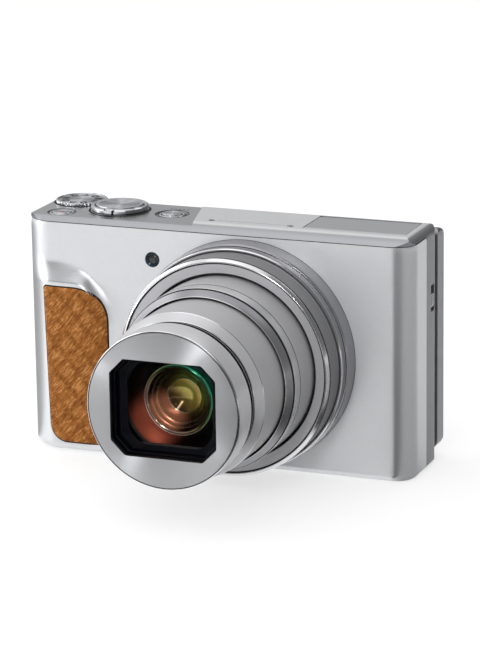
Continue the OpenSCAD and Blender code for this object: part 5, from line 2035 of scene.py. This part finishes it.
def dress_nodes(nodes: dict[str, Object], effects: Effects) -> None:
    """Gives every CAD node that stays in view its finish.

    Args:
        nodes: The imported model's nodes.
        effects: The shared node groups.
    """
    for name, thing in nodes.items():
        finish = NODE_FINISHES.get(name, Finishes.black)
        thing.data.materials.clear()
        thing.data.materials.append(finish.material(effects))
        LOG.info("%s: %s", name, finish.name)


# The studio ------------------------------------------------------------------


@dataclass(frozen=True)
class Softbox:
    """A soft lamp: where it stands, how large and strong it is, and its roll in degrees."""

    name: str
    place: Point
    size: tuple[float, float]
    power: float
    roll: float = 0.0


@dataclass(frozen=True)
class Flag:
    """A dark wedge on the floor: its apex, azimuth, edge angles and density."""

    name: str
    apex: tuple[float, float]
    azimuth: float
    edge: tuple[float, float]
    density: float


@dataclass
class Studio:
    """Floor, lamps, world and camera."""

    target: Vector = field(default_factory=lambda: Vector((0.0, -0.002, 0.030)))
    azimuth: float = 21.55
    elevation: float = 15.12
    roll: float = -0.85
    shift: tuple[float, float] = (-3.51, -5.12)
    distance: float = 835.46
    lens: float = 172.0
    softboxes: tuple[Softbox, ...] = (
        Softbox("overhead", (-0.12, -0.02, 1.0), (1.1, 0.8), 1.5),
        Softbox("left_wall", (-1.15, -0.30, 0.62), (1.0, 0.9), 3.2),
        Softbox("front_fill", (0.45, -1.2, 1.25), (1.1, 0.7), 2.8),
        Softbox("front_strip", (0.06, -1.24, 0.56), (0.70, 0.14), 2.9, 60.0),
        Softbox("left_strip", (-1.25, -0.40, 0.13), (0.20, 0.16), 2.8),
        Softbox("back_light", (0.20, 0.72, 0.95), (0.55, 0.32), 0.6),
        Softbox("catch_light", (0.5, -1.35, 0.62), (0.06, 0.06), 0.34),
    )
    flags: tuple[Flag, ...] = (
        Flag("corner_flag", (0.050, -0.012), 16.0, (3.0, 42.0), 0.92),
        Flag("side_flag", (0.050, -0.008), 85.0, (25.0, 115.0), 0.64),
        Flag("rear_flag", (-0.051, -0.006), 220.0, (33.0, 62.0), 0.75),
    )
    flag_reach: float = 0.45
    floor_reach: float = 3.0
    shade: float = 0.14
    bright_side: Vector = field(default_factory=lambda: Vector((-0.62, 0.30, 0.73)))
    fill: float = 0.78
    mirror_top: float = 0.9
    mirror_span: tuple[float, float] = (0.32, 1.05)
    matt_span: tuple[float, float] = (-0.9, 0.9)
    matt_range: tuple[float, float] = (0.62, 0.96)
    floor_base: float = 0.42
    floor_glow: float = 0.64
    hair: float = 0.0001

    def sheet(self, name: str, reach: float,
              at: Point) -> tuple[Object, Tree, Node]:
        """A flat square sheet with a new material.

        Args:
            name: The name of the sheet and of its material.
            reach: Half its width in metres.
            at: Where its middle lies, in metres.

        Returns:
            The sheet, its material's tree and the shader in it.
        """
        mesh = bpy.data.meshes.new(name)
        mesh.from_pydata([(-reach, -reach, 0), (reach, -reach, 0), (reach, reach, 0),
                          (-reach, reach, 0)], [], [(0, 1, 2, 3)])
        thing = bpy.data.objects.new(name, mesh)
        thing.location = at
        bpy.context.scene.collection.objects.link(thing)
        material = bpy.data.materials.new(name)
        material.use_nodes = True
        mesh.materials.append(material)
        return thing, Tree(material.node_tree), material.node_tree.nodes["Principled BSDF"]

    def floor(self) -> None:
        """The pale floor, white to the eye yet with the camera's shadow, clear from below."""
        floor, t, shader = self.sheet("floor", self.floor_reach, (0.0, 0.0, -self.hair))
        t.feed(shader, Base_Color=grey(self.floor_base), Roughness=0.9, Specular_IOR_Level=0.1,
               Emission_Color=grey(1.0))
        t.put(shader.inputs["Emission Strength"],
              t.math("MULTIPLY", self.seen(t), self.floor_glow))
        t.put(shader.inputs["Alpha"],
              t.math("SUBTRACT", 1.0, t.add("NewGeometry").outputs["Backfacing"]))

    def seen(self, t: Tree) -> NodeSocket:
        """One where the eye, a mirror or glass looks at a surface, else none.

        Args:
            t: The material's tree.

        Returns:
            The mask.
        """
        path = t.add("LightPath")
        plain = t.math("MAXIMUM", path.outputs["Is Camera Ray"],
                       path.outputs["Is Transmission Ray"])
        return t.math("MAXIMUM", plain, path.outputs["Is Glossy Ray"])

    def flag(self, made: Flag, level: float) -> None:
        """A black flag on the floor that only reflections show, with a soft edge.

        Args:
            made: Where the flag points, how wide it is and how dense.
            level: Its height over the floor in metres.
        """
        flag, t, shader = self.sheet(made.name, self.flag_reach, (*made.apex, level))
        angle = math.radians(made.azimuth)
        way = t.vector("NORMALIZE", t.add("TexCoord").outputs["Object"])
        lean = t.vector("DOT_PRODUCT", way.outputs[0],
                        (math.sin(angle), -math.cos(angle), 0.0)).outputs["Value"]
        inner, outer = (math.cos(math.radians(a)) for a in made.edge)
        t.feed(shader, Base_Color=grey(0.01), Specular_IOR_Level=0.0)
        t.put(shader.inputs["Alpha"], t.smooth(lean, outer, inner, 0.0, made.density))
        flag.visible_camera = False
        flag.visible_diffuse = False
        flag.visible_transmission = False
        flag.visible_shadow = False

    def world(self) -> None:
        """A surround that is white to the eye and dims softly for mirrors and matt faces."""
        world = bpy.data.worlds.new("surround")
        bpy.context.scene.world = world
        world.use_nodes = True
        t = Tree(world.node_tree)
        background = world.node_tree.nodes["Background"]
        path = t.add("LightPath")
        shown = t.math("MAXIMUM", path.outputs["Is Camera Ray"],
                       path.outputs["Is Transmission Ray"])
        way = t.add("TexCoord").outputs["Generated"]
        side = t.vector("DOT_PRODUCT", way, tuple(self.bright_side)).outputs["Value"]
        fall = t.smooth(side, *self.mirror_span, self.shade, self.mirror_top)
        mirrored = t.math("MULTIPLY", path.outputs["Is Glossy Ray"], fall)
        soft = t.smooth(side, *self.matt_span, *self.matt_range)
        lit = t.math("MULTIPLY", path.outputs["Is Diffuse Ray"],
                     t.math("MULTIPLY", soft, self.fill))
        level = t.math("MAXIMUM", shown, t.math("MAXIMUM", mirrored, lit))
        background.inputs["Color"].default_value = grey(1.0)
        t.put(background.inputs["Strength"], level)

    def lamps(self) -> None:
        """The softboxes, each turned to the camera on the floor."""
        for box in self.softboxes:
            light = bpy.data.lights.new(box.name, "AREA")
            light.shape = "RECTANGLE"
            light.size, light.size_y = box.size
            light.energy = box.power
            lamp = bpy.data.objects.new(box.name, light)
            lamp.location = box.place
            aim = (Vector((0, -0.02, 0.03)) - Vector(box.place)).to_track_quat("-Z", "Y")
            turn = Quaternion((0, 0, 1), math.radians(box.roll))
            lamp.rotation_euler = (aim @ turn).to_euler()
            bpy.context.scene.collection.objects.link(lamp)

    def camera(self) -> None:
        """The camera that takes the view."""
        az, el, roll = (math.radians(v) for v in (self.azimuth, self.elevation, self.roll))
        right = Vector((math.cos(az), math.sin(az), 0))
        back = Vector((math.sin(az) * math.cos(el), -math.cos(az) * math.cos(el), math.sin(el)))
        up = back.cross(right)
        right_rolled = right * math.cos(roll) + up * math.sin(roll)
        up_rolled = up * math.cos(roll) - right * math.sin(roll)
        view = bpy.data.cameras.new("view")
        view.lens = self.lens
        view.sensor_width = 36.0
        view.sensor_fit = "AUTO"
        view.clip_end = 20.0
        thing = bpy.data.objects.new("view", view)
        place = (self.target + back * self.distance * MM - right_rolled * self.shift[0] * MM
                 - up_rolled * self.shift[1] * MM)
        frame = Matrix((right_rolled, up_rolled, back)).transposed().to_4x4()
        frame.translation = place
        thing.matrix_world = frame
        bpy.context.scene.collection.objects.link(thing)
        bpy.context.scene.camera = thing

    def build(self) -> None:
        """Sets up the whole studio."""
        self.floor()
        for count, made in enumerate(self.flags, 1):
            self.flag(made, self.hair * (count - 0.5))
        self.world()
        self.lamps()
        self.camera()
        bpy.context.scene.view_settings.view_transform = "Standard"


def main() -> None:
    """Builds the camera's dressed model and the studio around it."""
    logging.basicConfig(level=logging.INFO, format="%(message)s")
    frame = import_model()
    effects = Effects()
    Studio().build()
    dress_nodes(frame["nodes"], effects)
    body = Body(effects)
    body.build()
    Grip(effects, body).build()
    Lens(effects).build()
    Deck(effects).build()
    Rear(effects).build()
    Underside(effects).build()


if __name__ == "__main__":
    main()
